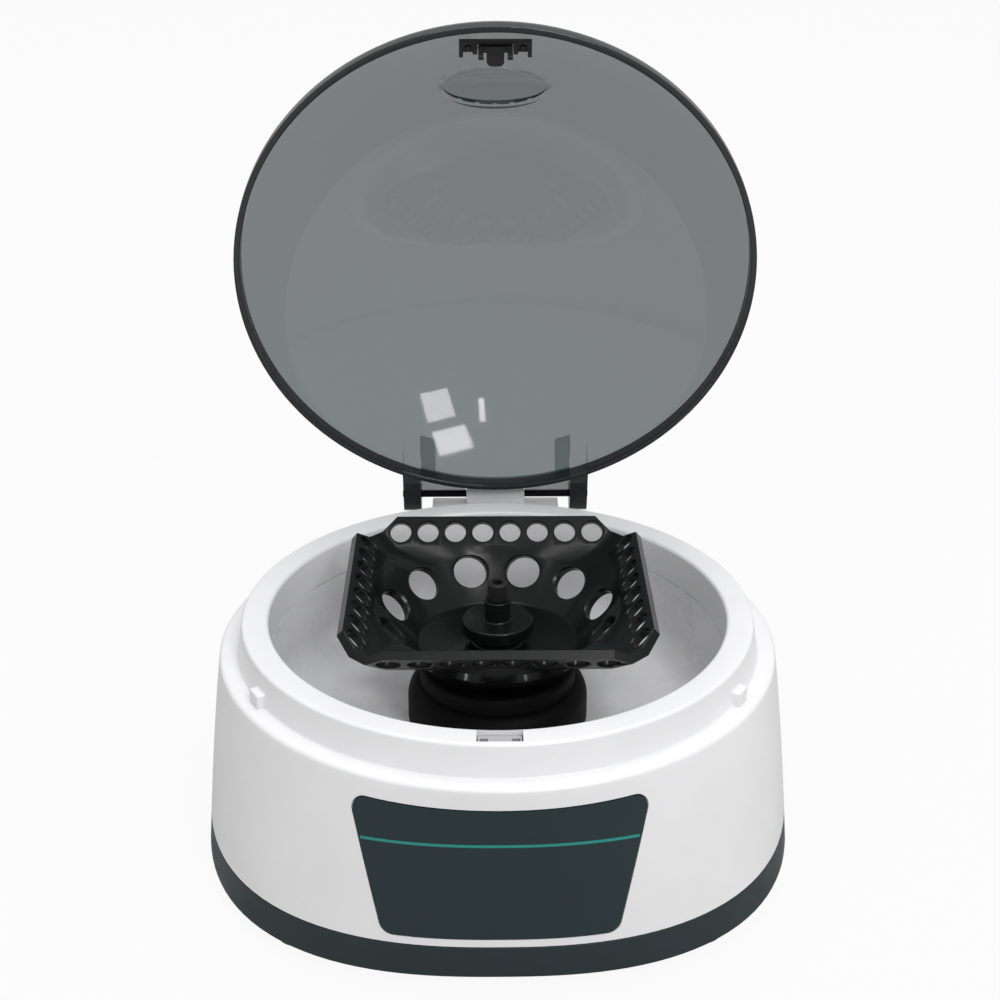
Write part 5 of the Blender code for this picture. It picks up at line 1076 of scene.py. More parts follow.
@dataclass
class Rotor:
    """Spindle, combination rotor, and the clamp that holds it down."""

    hub_bore_r: float = 0.0045
    hub_r: float = 0.0076
    hub_top_z: float = 0.0600
    hub_low_z: float = 0.0523
    hub_outer_r: float = 0.0100
    floor_z: float = 0.0565
    cone_low_r: float = 0.0249
    cone_top_r: float = 0.0371
    skin: float = 0.0026
    top_z: float = 0.07815
    top_half: float = 0.0449
    slant: float = 0.0074
    edge_half: float = 0.03266
    tip_half: float = 0.0373
    flange: float = 0.0020
    side_parts: int = 28
    strip_holes: int = 8
    strip_pitch: float = 0.0090
    strip_hole_r: float = 0.0035
    tube_holes: int = 12
    tube_hole_r: float = 0.0055
    tube_ring_r: float = 0.0329
    tube_turn: float = math.radians(15)
    rim: float = 0.0003
    clamp_bore_r: float = 0.0023
    clamp_neck_r: float = 0.00415
    clamp_disc_r: float = 0.0110
    clamp_top_z: float = 0.0710
    clamp_disc_z: float = 0.0643
    clamp_low_z: float = 0.0603
    screw_head_r: float = 0.00315
    screw_r: float = 0.0020
    screw_top_z: float = 0.0768
    screw_seat_z: float = 0.0713
    screw_tip_z: float = 0.0507
    socket_r: float = 0.0018
    socket_deep: float = 0.0028

    def build(self) -> None:
        """Build and dress the turning pieces."""
        self._rotor()
        self._clamp()
        self._spindle()

    def _square(self, flat: Point, tip: Point) -> list[Point]:
        """A ring of four flat sides with cut corners.

        Args:
            flat: Half length, distance out and height of a side's flat edge.
            tip: Half width, distance out and height of its two corner points.

        Returns:
            The points of the ring.
        """
        ring = []
        for side in range(4):
            turn = Matrix.Rotation(side * math.pi / 2, 3, "Z")
            points = []
            for k in range(self.side_parts + 1):
                points.append((flat[1], flat[0] * (2 * k / self.side_parts - 1), flat[2]))
            points += [(tip[1], tip[0], tip[2]), (tip[0], tip[1], tip[2])]
            ring += [tuple(turn @ Vector(point)) for point in points]
        return ring

    def _rings(self) -> list[list[Point]]:
        """Rings from the bore's top, out over the inside, and back under.

        Returns:
            The rings in order.
        """
        low_half, low_z = self.top_half - self.slant, self.top_z - self.slant
        rise = self.slant / 2
        tip_out = low_half + rise
        corner = (self.edge_half + low_half) / 2
        spread = (tip_out - self.tip_half) / 2
        thick, lip = self.flange, self.rim
        top_in = self._square(
            (self.edge_half, self.top_half, self.top_z), (self.tip_half, tip_out, low_z + rise),
        )
        top_mid = self._square(
            (self.edge_half, self.top_half + lip, self.top_z),
            (self.tip_half + lip / 2, tip_out + lip, low_z + rise),
        )
        top_out = self._square(
            (self.edge_half, self.top_half + thick, self.top_z - thick),
            (self.tip_half + thick / 2, tip_out + thick, low_z + rise - thick),
        )
        low_in = self._square((self.edge_half, low_half, low_z), (corner - spread, corner + spread, low_z))
        low_out = self._square(
            (self.edge_half, low_half + thick, low_z - thick),
            (corner - spread + thick / 2, corner + spread + thick / 2, low_z - thick),
        )
        cone_z = self.floor_z + self.cone_top_r - self.cone_low_r
        under = self.floor_z - self.skin
        toe = self.cone_low_r + self.skin * math.tan(math.pi / 8)
        inside = filleted([
            (self.hub_bore_r, self.hub_low_z, 0.0), (self.hub_bore_r, self.hub_top_z, 0.0002),
            (self.hub_r, self.hub_top_z, 0.0006), (self.hub_r, self.floor_z, 0.0008),
            (self.cone_low_r, self.floor_z, 0.0015), (self.cone_top_r, cone_z, 0.0),
        ], steps=3)
        outside = filleted([
            (self.cone_top_r, cone_z - self.skin * math.sqrt(2), 0.0), (toe, under, 0.0015),
            (self.hub_outer_r, under, 0.0008), (self.hub_outer_r, self.hub_low_z, 0.0),
        ], steps=3)

        def circle(radius: float, height: float) -> list[Point]:
            """A circle whose points lie at the angles of the square rings."""
            return [polar(radius, math.atan2(y, x), height) for x, y, _ in top_in]

        rings = [circle(*spot) for spot in inside]
        rings += [low_in, top_in, top_mid, top_out, low_out]
        return rings + [circle(*spot) for spot in outside]

    def _hole(self, radius: float, thick: float) -> list[Pair]:
        """Profile of a drill that eases both edges of its hole.

        Args:
            radius: Radius of the hole.
            thick: Thickness of the wall, whose inner face is at height zero.

        Returns:
            Points as radius and height.
        """
        flare = radius + self.rim + OVERRUN / 2
        reach = OVERRUN / 2
        return [
            (0.0, reach), (flare, reach), (radius, -self.rim), (radius, self.rim - thick),
            (flare, -thick - reach), (0.0, -thick - reach),
        ]

    def _rotor(self) -> None:
        """The rotor with its strip holes and tube holes."""
        item = loft("rotor_body", self._rings(), closed=True)
        slope = math.sqrt(0.5)
        thick = self.flange * math.sqrt(2)
        drills = []
        for side in range(4):
            turn = Matrix.Rotation(side * math.pi / 2, 3, "Z")
            for k in range(self.strip_holes):
                along = self.strip_pitch * (k - (self.strip_holes - 1) / 2)
                spot = (self.top_half - self.slant / 2, along, self.top_z - self.slant / 2)
                profile = self._hole(self.strip_hole_r, thick)
                way = turn @ Vector((-slope, 0, slope))
                drills.append(drill("strip_hole", profile, turn @ Vector(spot), way))
        for k in range(self.tube_holes):
            angle = self.tube_turn + math.tau * k / self.tube_holes
            height = self.floor_z + self.tube_ring_r - self.cone_low_r
            way = (-slope * math.cos(angle), -slope * math.sin(angle), slope)
            profile = self._hole(self.tube_hole_r, self.skin)
            drills.append(drill("tube_hole", profile, polar(self.tube_ring_r, angle, height), way, 32))
        work(item, Cut.AWAY, drills)
        dress(shade(item), FINISHES.rotor_black, "rotor", "combi_rotor")

    def _clamp(self) -> None:
        """The clamp disc and the screw through it."""
        bore, neck, wide = self.clamp_bore_r, self.clamp_neck_r, self.clamp_disc_r
        disc = lathe("clamp_plate", filleted([
            (bore, self.clamp_top_z, 0.0), (neck, self.clamp_top_z, 0.0004),
            (neck, self.clamp_disc_z, 0.0006), (wide, self.clamp_disc_z, 0.0006),
            (wide, self.clamp_low_z, 0.0003), (bore, self.clamp_low_z, 0.0),
        ], closed=True), closed=True, steps=MID_STEPS * 2)
        dress(shade(disc), FINISHES.rotor_black, "clamp_disc", "clamp_disc")
        head_z, low_z, tip_z = self.screw_top_z, self.screw_seat_z, self.screw_tip_z
        screw = lathe("clamp_bolt", filleted([
            (0.0, head_z, 0.0), (self.screw_head_r, head_z, 0.0004), (self.screw_head_r, low_z, 0.0),
            (self.screw_r, low_z, 0.0), (self.screw_r, tip_z, 0.0), (0.0, tip_z, 0.0),
        ]), closed=False, steps=MID_STEPS)
        floor_z = head_z - self.socket_deep
        socket = rod("socket", (0, 0, floor_z), (0, 0, head_z + OVERRUN), self.socket_r, 6)
        work(screw, Cut.AWAY, [socket])
        dress(shade(screw), FINISHES.matt_black, "clamp_screw", "clamp_screw")

    def _spindle(self) -> None:
        """The steel spindle, of which the collar shows between rotor and boot."""
        item = lathe("turned_spindle", filleted([
            (0.0, 0.0501, 0.0), (0.0023, 0.0501, 0.0), (0.0023, 0.0585, 0.0), (0.0042, 0.0585, 0.0004),
            (0.0042, 0.0520, 0.0), (0.0060, 0.0520, 0.0004), (0.0060, 0.0495, 0.0004),
            (0.0025, 0.0495, 0.0), (0.0025, 0.0125, 0.0003), (0.0, 0.0125, 0.0),
        ]), closed=False, steps=MID_STEPS)
        dress(shade(item), FINISHES.steel, "spindle", "drive_spindle")


@dataclass
class Lid:
    """Smoked lid with its hinge arms, finger grip and latch, built as if it were shut."""

    hinge_y: float = 0.0910
    hinge_z: float = 0.0660
    opened: float = math.radians(78)
    radius: float = 0.0843
    wall: float = 0.0020
    skirt: float = 0.0050
    tall: float = 0.0520
    rim_z: float = 0.0585
    shoulder: float = 0.0040
    rim_round: float = 0.0004
    skirt_dark: float = 0.0040
    dome_parts: int = 28
    grip_at: float = 0.0520
    grip_half: float = 0.0170
    grip_short: float = 0.0100
    grip_deep: float = 0.0024
    grip_floor: float = 0.0018
    grip_side: float = 0.5
    pad_grow: float = 0.0006
    pad_round: float = 0.0016
    rib_wide: float = 0.0014
    rib_tall: float = 0.0007
    rib_count: int = 5
    arm_inner: float = 0.0263
    arm_outer: float = 0.0325
    eye_r: float = 0.0060
    arm_top: float = 0.0042
    arm_low: float = 0.0058
    arm_root: float = 0.0680
    gusset_inner: float = 0.0212
    gusset_top: float = 0.0085
    gusset_foot: float = 0.0850
    gusset_slope: float = 0.0100
    leaf: float = 0.0018
    leaf_notch: float = 0.0062
    tongue_half: float = 0.0103
    pin_r: float = 0.0013
    pin_half: float = 0.0330
    centre_z: float = field(init=False)
    sphere_r: float = field(init=False)

    def __post_init__(self) -> None:
        """Work out the sphere of the lid's top."""
        reach = self.tall - self.skirt
        self.sphere_r = (self.radius**2 + reach**2) / (2 * reach)
        self.centre_z = self.rim_z + self.tall - self.sphere_r

    def open_up(self, item: bpy.types.Object) -> bpy.types.Object:
        """Swing a piece from its shut place to its open one.

        Args:
            item: The piece.

        Returns:
            The same object.
        """
        hinge = Vector((0, self.hinge_y, self.hinge_z))
        turn = Matrix.Rotation(-self.opened, 4, "X")
        item.data.transform(Matrix.Translation(hinge) @ turn @ Matrix.Translation(-hinge))
        return item

    def _dome(self, inset: float) -> list[Corner]:
        """Corners from the crown down to the rim.

        Args:
            inset: Distance inside the lid's outer surface.

        Returns:
            Corners as radius, height and rounding.
        """
        sphere = self.sphere_r - inset
        last = math.asin((self.radius - inset) / sphere)
        corners = []
        for k in range(self.dome_parts):
            angle = last * k / self.dome_parts
            corners.append((sphere * math.sin(angle), self.centre_z + sphere * math.cos(angle), 0.0))
        foot = self.centre_z + sphere * math.cos(last)
        edge = self.radius - inset
        return corners + [(edge, foot, self.shoulder), (edge, self.rim_z, self.rim_round)]

    def build(self) -> None:
        """Build and dress the lid, its pin and its latch."""
        shell = lathe("lid_shell", filleted(self._dome(0.0) + self._dome(self.wall)[::-1]), closed=False)
        work(shell, Cut.ADD, [self._fitting(), self._pad()])
        work(shell, Cut.AWAY, [
            self._recess(),
            rod("bore", (-self.pin_half - OVERRUN, self.hinge_y, self.hinge_z),
                (self.pin_half + OVERRUN, self.hinge_y, self.hinge_z), self.pin_r + GAP),
        ])
        self._colour(shell)
        dress(self.open_up(shade(shell)), FINISHES.smoke, "lid", "lid_dome")
        self._pin()
        Latch(self).build()

    def _colour(self, shell: bpy.types.Object) -> None:
        """Darken the faces that are seen along the thickness of the plastic, and paint a shadow on the grip
        recess's lower side wall.

        Args:
            shell: The lid, as it lies when shut.
        """
        for finish in (FINISHES.smoke, FINISHES.smoke_edge_and_shadow, FINISHES.smoke_thick, FINISHES.smoke_floor):
            shell.data.materials.append(finish.material())
        into_grip = self._grip_place().inverted()
        for face in shell.data.polygons:
            x, y, z = face.center
            behind = y > self.arm_root and self._off_dome(face.center)
            local = into_grip @ face.center
            in_grip = math.hypot(local.x / (self.grip_half + GAP), local.y / (self.grip_short + GAP)) < 1
            sunk = in_grip and -self.grip_deep - GAP < local.z < -GAP
            if z < self.rim_z + self.skirt_dark:
                face.material_index = 1
            elif behind and self.arm_inner - GAP < abs(x) < self.arm_outer + GAP:
                face.material_index = 1
            elif behind and self.gusset_inner - GAP < abs(x):
                face.material_index = 2
            elif sunk:
                upright = abs((into_grip.to_3x3() @ face.normal).z) < self.grip_side
                rim = upright and local.length > self.grip_short - self.wall
                # The recess wall's lower side gets the near-black edge finish as a painted shadow; its upper side
                # stays plain smoke.
                face.material_index = 3 if not rim else (1 if local.y > self.wall else 0)

    def _off_dome(self, spot: Vector) -> bool:
        """Whether a point stands off the lid's two skins.

        Args:
            spot: The point, with the lid shut.

        Returns:
            True for a point on an arm, a gusset or the leaf.
        """
        level = math.hypot(spot.x, spot.y)
        away = (Vector(spot) - Vector((0, 0, self.centre_z))).length
        near_dome = abs(away - self.sphere_r) < 0.0004 or abs(away - self.sphere_r + self.wall) < 0.0004
        near_skirt = abs(level - self.radius) < 0.0003 or abs(level - self.radius + self.wall) < 0.0003
        return not (near_dome or near_skirt)

    def _fitting(self) -> bpy.types.Object:
        """Arms, gussets and leaf, cut off inside the lid's wall.

        Returns:
            One solid that reaches half way into the wall.
        """
        item = block(
            "leaf", (GAP - self.arm_outer, self.arm_root, self.hinge_z - self.leaf / 2),
            (self.arm_outer - GAP, self.hinge_y - self.pin_r - GAP, self.hinge_z + self.leaf / 2),
        )
        eye = []
        for k in range(17):
            angle = math.pi * (k / 16 - 0.5)
            y, z = self.eye_r * math.cos(angle), self.eye_r * math.sin(angle)
            eye.append((self.hinge_y + y, self.hinge_z + z))
        arm = eye + [(self.arm_root, self.hinge_z + self.arm_top), (self.arm_root, self.hinge_z - self.arm_low)]
        gusset = [
            (self.arm_root, self.hinge_z - GAP), (self.gusset_foot, self.hinge_z - GAP),
            (self.gusset_foot - self.gusset_slope, self.hinge_z + self.gusset_top),
            (self.arm_root, self.hinge_z + self.gusset_top),
        ]
        sides = []
        for side in (-1, 1):
            for outline, inner, outer in (
                (arm, self.arm_inner, self.arm_outer), (gusset, self.gusset_inner, self.arm_inner + GAP),
            ):
                low, high = sorted((side * inner, side * outer))
                sides.append(prism("side", outline, low, high, Way.X))
        work(item, Cut.ADD, sides)
        notch = self.tongue_half + GAP
        hollow = [corner[:2] for corner in self._dome(self.wall / 2)]
        hollow += [(hollow[-1][0], self.rim_z - OVERRUN), (0.0, self.rim_z - OVERRUN)]
        return work(item, Cut.AWAY, [
            block("notch", (-notch, self.hinge_y - self.leaf_notch, self.hinge_z - self.eye_r),
                  (notch, self.hinge_y + self.eye_r, self.hinge_z + self.eye_r)),
            lathe("hollow", hollow, closed=False),
        ])

    def _on_dome(self, item: bpy.types.Object) -> bpy.types.Object:
        """Set a piece on the dome at the grip, square to its surface.

        Args:
            item: The piece, built round the origin.

        Returns:
            The same object.
        """
        item.data.transform(self._grip_place())
        return item

    def _grip_place(self) -> Matrix:
        """The grip's place on the dome, with its Z axis square to the surface."""
        tilt = math.asin(self.grip_at / self.sphere_r)
        spot = (0, -self.grip_at, self.centre_z + self.sphere_r * math.cos(tilt))
        return Matrix.Translation(spot) @ Matrix.Rotation(tilt, 4, "X")

    def _oval(self, name: str, grow: float, low: float, high: float, ease: float) -> bpy.types.Object:
        """An oval block with a rounded lower edge.

        Args:
            name: Name of the object.
            grow: Distance by which it is larger than the grip.
            low: Its lower face, from the dome's surface.
            high: Its upper face.
            ease: Rounding of its lower edge.

        Returns:
            The block, round the origin.
        """
        corners = [(0.0, low, 0.0), (1.0, low, 0.0), (1.0, high, 0.0), (0.0, high, 0.0)]
        item = lathe(name, [corner[:2] for corner in corners], closed=False, steps=MID_STEPS)
        for vertex in item.data.vertices:
            vertex.co.x *= self.grip_half + grow
            vertex.co.y *= self.grip_short + grow
        return soften(item, ease, 3)

    def _pad(self) -> bpy.types.Object:
        """The thicker plastic behind the grip, kept below the lid's surface.

        Returns:
            The pad.
        """
        low = -self.grip_deep - self.grip_floor
        pad = self._on_dome(self._oval("pad", self.pad_grow, low, OVERRUN, self.pad_round))
        solid = [corner[:2] for corner in self._dome(self.wall / 2)] + [(0.0, self.rim_z)]
        return work(pad, Cut.SHARED, [lathe("outside", solid, closed=False)])

    def _recess(self) -> bpy.types.Object:
        """Cutter for the grip, with ribs left on its floor.

        Returns:
            The cutter.
        """
        cutter = self._oval("recess", 0.0, -self.grip_deep, OVERRUN, 0.0005)
        pitch = 2 * self.grip_half / (self.rib_count + 1)
        ribs = []
        for k in range(self.rib_count):
            x = pitch * (k + 1) - self.grip_half
            ribs.append(block(
                "rib", (x - self.rib_wide / 2, -self.grip_short - GAP, -self.grip_deep - OVERRUN),
                (x + self.rib_wide / 2, self.grip_short + GAP, self.rib_tall - self.grip_deep),
            ))
        return self._on_dome(work(cutter, Cut.AWAY, ribs))

    def _pin(self) -> None:
        """The steel pin of the hinge, coloured near black as painted shade."""
        item = rod(
            "hinge_rod", (-self.pin_half, self.hinge_y, self.hinge_z),
            (self.pin_half, self.hinge_y, self.hinge_z), self.pin_r,
        )
        dress(shade(soften(item, 0.0003), True), FINISHES.shade_dark_steel, "base", "hinge_pin")


@dataclass
class Latch:
    """Latch inside the lid's front: a frame, its pin, and the hook that swings on it."""

    lid: Lid
    pivot_y: float = -0.0732
    pivot_z: float = 0.0700
    pin_r: float = 0.0005
    pin_half: float = 0.0069
    barrel_r: float = 0.0015
    barrel_half: float = 0.0052
    prong_inner: float = 0.0036
    prong_front: float = -0.0746
    prong_rear: float = -0.0730
    prong_tip_z: float = 0.0603
    bar_z: float = 0.0668
    bar_tall: float = 0.0016
    tab_half: float = 0.0027
    tab_long: float = 0.0041
    tab_thick: float = 0.0018
    tab_round: float = 0.0016
    frame_half: float = 0.01105
    frame_front: float = -0.0757
    frame_rear: float = -0.0748
    frame_low_z: float = 0.0684
    frame_top_z: float = 0.0708
    leg: float = 0.0012
    leg_rear: float = -0.0708
    ear: float = 0.0014
    ear_top_z: float = 0.0716
    lug_low_z: float = 0.0694
    peg_x: float = 0.0084
    peg_y: float = -0.0735
    boss_r: float = 0.0014
    peg_r: float = 0.0006
    ease: float = 0.00018

    def build(self) -> None:
        """Build and dress the latch."""
        self._frame()
        self._hook()
        pin = rod("latch_axle", (-self.pin_half, self.pivot_y, self.pivot_z),
                  (self.pin_half, self.pivot_y, self.pivot_z), self.pin_r, 16)
        dress(self.lid.open_up(shade(pin)), FINISHES.steel, "lid", "latch_pin")
        for side, x in (("left", -self.peg_x), ("right", self.peg_x)):
            post = lathe(f"lid_post_{side}", filleted([
                (0.0, self.lug_low_z - self.barrel_r / 3, 0.0),
                (self.peg_r, self.lug_low_z - self.barrel_r / 3, 0.0),
                (self.peg_r, self.frame_top_z + GAP, 0.0), (self.boss_r, self.frame_top_z + GAP, 0.0),
                (self.boss_r, self._ceiling(self.boss_r), 0.0), (0.0, self._ceiling(0.0), 0.0),
            ]), closed=False, steps=SMALL_STEPS)
            post.data.transform(Matrix.Translation((x, self.peg_y, 0)))
            dress(self.lid.open_up(shade(post)), FINISHES.smoke_edge_and_shadow, "lid")

    def _ceiling(self, out: float) -> float:
        """Height of the lid's inner skin above a post.

        Args:
            out: Distance outward from the post's axis.

        Returns:
            The height, a little inside the plastic.
        """
        level = math.hypot(self.peg_x, self.peg_y) + out
        inner = self.lid.sphere_r - self.lid.wall
        return self.lid.centre_z + math.sqrt(inner**2 - level**2) + GAP

    def _frame(self) -> None:
        """The frame that is staked inside the lid."""
        front, rear = self.frame_front, self.frame_rear
        low, high = self.frame_low_z, self.frame_top_z
        ear_inner = self.barrel_half + GAP
        item = block("catch_frame", (-self.frame_half, front, low), (self.frame_half, rear, high))
        parts = []
        for inner, outer, back, floor, top in (
            (self.frame_half - self.leg, self.frame_half, self.leg_rear, low, high),
            (ear_inner, ear_inner + self.ear, self.pivot_y + self.barrel_r, low, self.ear_top_z),
            (ear_inner + GAP, self.frame_half - GAP, self.peg_y + self.boss_r, self.lug_low_z, high - SHY),
        ):
            parts.append(block("part", (inner, rear - GAP, floor), (outer, back, top)))
            parts.append(block("part", (-outer, rear - GAP, floor), (-inner, back, top)))
        work(item, Cut.ADD, parts)
        work(item, Cut.AWAY, [
            rod("bore", (-self.pin_half, self.pivot_y, self.pivot_z),
                (self.pin_half, self.pivot_y, self.pivot_z), self.pin_r + GAP, 16),
            *(rod("hole", (x, self.peg_y, low - OVERRUN), (x, self.peg_y, high + OVERRUN),
                  self.peg_r + GAP, 16) for x in (-self.peg_x, self.peg_x)),
        ])
        item = self.lid.open_up(shade(item))
        dress(item, FINISHES.matt_black, "lid", "latch_frame")

    def _hook(self) -> None:
        """The hook: barrel, prongs, cross bar and thumb tab."""
        half = self.barrel_half
        y, z = self.pivot_y, self.pivot_z
        item = rod("catch_hook", (-half, y, z), (half, y, z), self.barrel_r)
        parts = []
        for side in (-1, 1):
            near, far = sorted((side * self.prong_inner, side * (half - SHY)))
            outline = filleted([
                (self.prong_front, self.pivot_z, 0.0), (self.prong_front, self.prong_tip_z, 0.0006),
                (self.prong_rear, self.prong_tip_z, 0.0006), (self.prong_rear, self.pivot_z, 0.0),
            ], closed=True)
            parts.append(prism("prong", outline, near, far, Way.X))
        inset = self.prong_inner + GAP
        parts.append(block(
            "bar", (-inset, self.prong_front + SHY, self.bar_z),
            (inset, self.prong_rear - SHY, self.bar_z + self.bar_tall),
        ))
        tip = self.pivot_y + self.barrel_r + self.tab_long
        tab_low = self.pivot_z - self.tab_thick / 2
        outline = filleted([
            (-self.tab_half, self.pivot_y, 0.0), (self.tab_half, self.pivot_y, 0.0),
            (self.tab_half, tip, self.tab_round), (-self.tab_half, tip, self.tab_round),
        ], closed=True)
        parts.append(prism("tab", outline, tab_low, tab_low + self.tab_thick, Way.Z))
        work(item, Cut.ADD, parts)
        work(item, Cut.AWAY, [rod(
            "bore", (-half - OVERRUN, self.pivot_y, self.pivot_z),
            (half + OVERRUN, self.pivot_y, self.pivot_z), self.pin_r + GAP, 16,
        )])
        item = self.lid.open_up(shade(item))
        dress(item, FINISHES.matt_black, "latch_hook", "latch_hook")


@dataclass
class HingeBlock:
    """White block on the back of the case, with the tongue that carries the pin."""

    half: float = 0.0224
    top_z: float = 0.0632
    low_z: float = 0.0440
    rear_y: float = 0.0962
    inner_y: float = 0.0760
    tongue_half: float = 0.0103
    tongue_r: float = 0.0042
    screw_x: float = 0.0160
    screw_z: float = 0.0535
    head_r: float = 0.0027
    head: float = 0.0020
    shank_r: float = 0.0015
    tip_y: float = 0.0790
    ease: float = 0.0005

    def build(self, lid: Lid) -> None:
        """Build and dress the block and its screws.

        Args:
            lid: The lid, for the place of the hinge and its sweep.
        """
        slope = self.rear_y - lid.hinge_y
        outline = filleted([
            (self.inner_y, self.low_z, 0.0), (lid.hinge_y - slope / 2, self.low_z, 0.001),
            (self.rear_y, self.low_z + 2 * slope, 0.003),
            (self.rear_y, self.top_z - slope / 2, 0.0015),
            (self.rear_y - slope / 2, self.top_z, 0.0015), (self.inner_y, self.top_z, 0.0),
        ], closed=True)
        item = prism("hinge_mount", outline, -self.half, self.half, Way.X)
        soften(item, self.ease)
        tongue = rod("tongue", (-self.tongue_half, lid.hinge_y, lid.hinge_z),
                     (self.tongue_half, lid.hinge_y, lid.hinge_z), self.tongue_r, MID_STEPS)
        work(item, Cut.ADD, [soften(tongue, 0.0003)])
        path = [corner[:2] for corner in FORM.wall_path(0.0, FORM.shelf_z + GAP, GAP)]
        clear = lid.radius + 2 * GAP
        path += [(clear, FORM.shelf_z + 2 * GAP), (clear, lid.hinge_z + OVERRUN)]
        cutters = [
            FORM.skin("seat", path, closed=False),
            rod("bore", (-lid.pin_half, lid.hinge_y, lid.hinge_z), (lid.pin_half, lid.hinge_y, lid.hinge_z),
                lid.pin_r + GAP),
        ]
        for x in (-self.screw_x, self.screw_x):
            cutters.append(rod("well", (x, self.rear_y - self.head - 2 * GAP, self.screw_z),
                               (x, self.rear_y + OVERRUN, self.screw_z), self.head_r + GAP))
        work(item, Cut.AWAY, cutters)
        dress(shade(item), FINISHES.case_white, "base", "hinge_block")
        for side, x in (("left", -self.screw_x), ("right", self.screw_x)):
            self._screw(side, x)

    def _screw(self, side: str, x: float) -> None:
        """One screw of the block.

        Args:
            side: Word for its side.
            x: Its place.
        """
        face = self.rear_y - GAP
        long = face - self.tip_y
        screw = drill(f"mount_screw_{side}", filleted([
            (0.0, 0.0, 0.0), (self.head_r, 0.0, 0.0004), (self.head_r, -self.head, 0.0),
            (self.shank_r, -self.head, 0.0), (self.shank_r, -long, 0.0), (0.0, -long, 0.0),
        ]), (x, face, self.screw_z), (0, 1, 0))
        work(screw, Cut.AWAY, cross_recess((x, face, self.screw_z), (0, 1, 0), 0.0016, 0.0011))
        dress(shade(screw), FINISHES.steel, "base", f"hinge_screw_{side}")


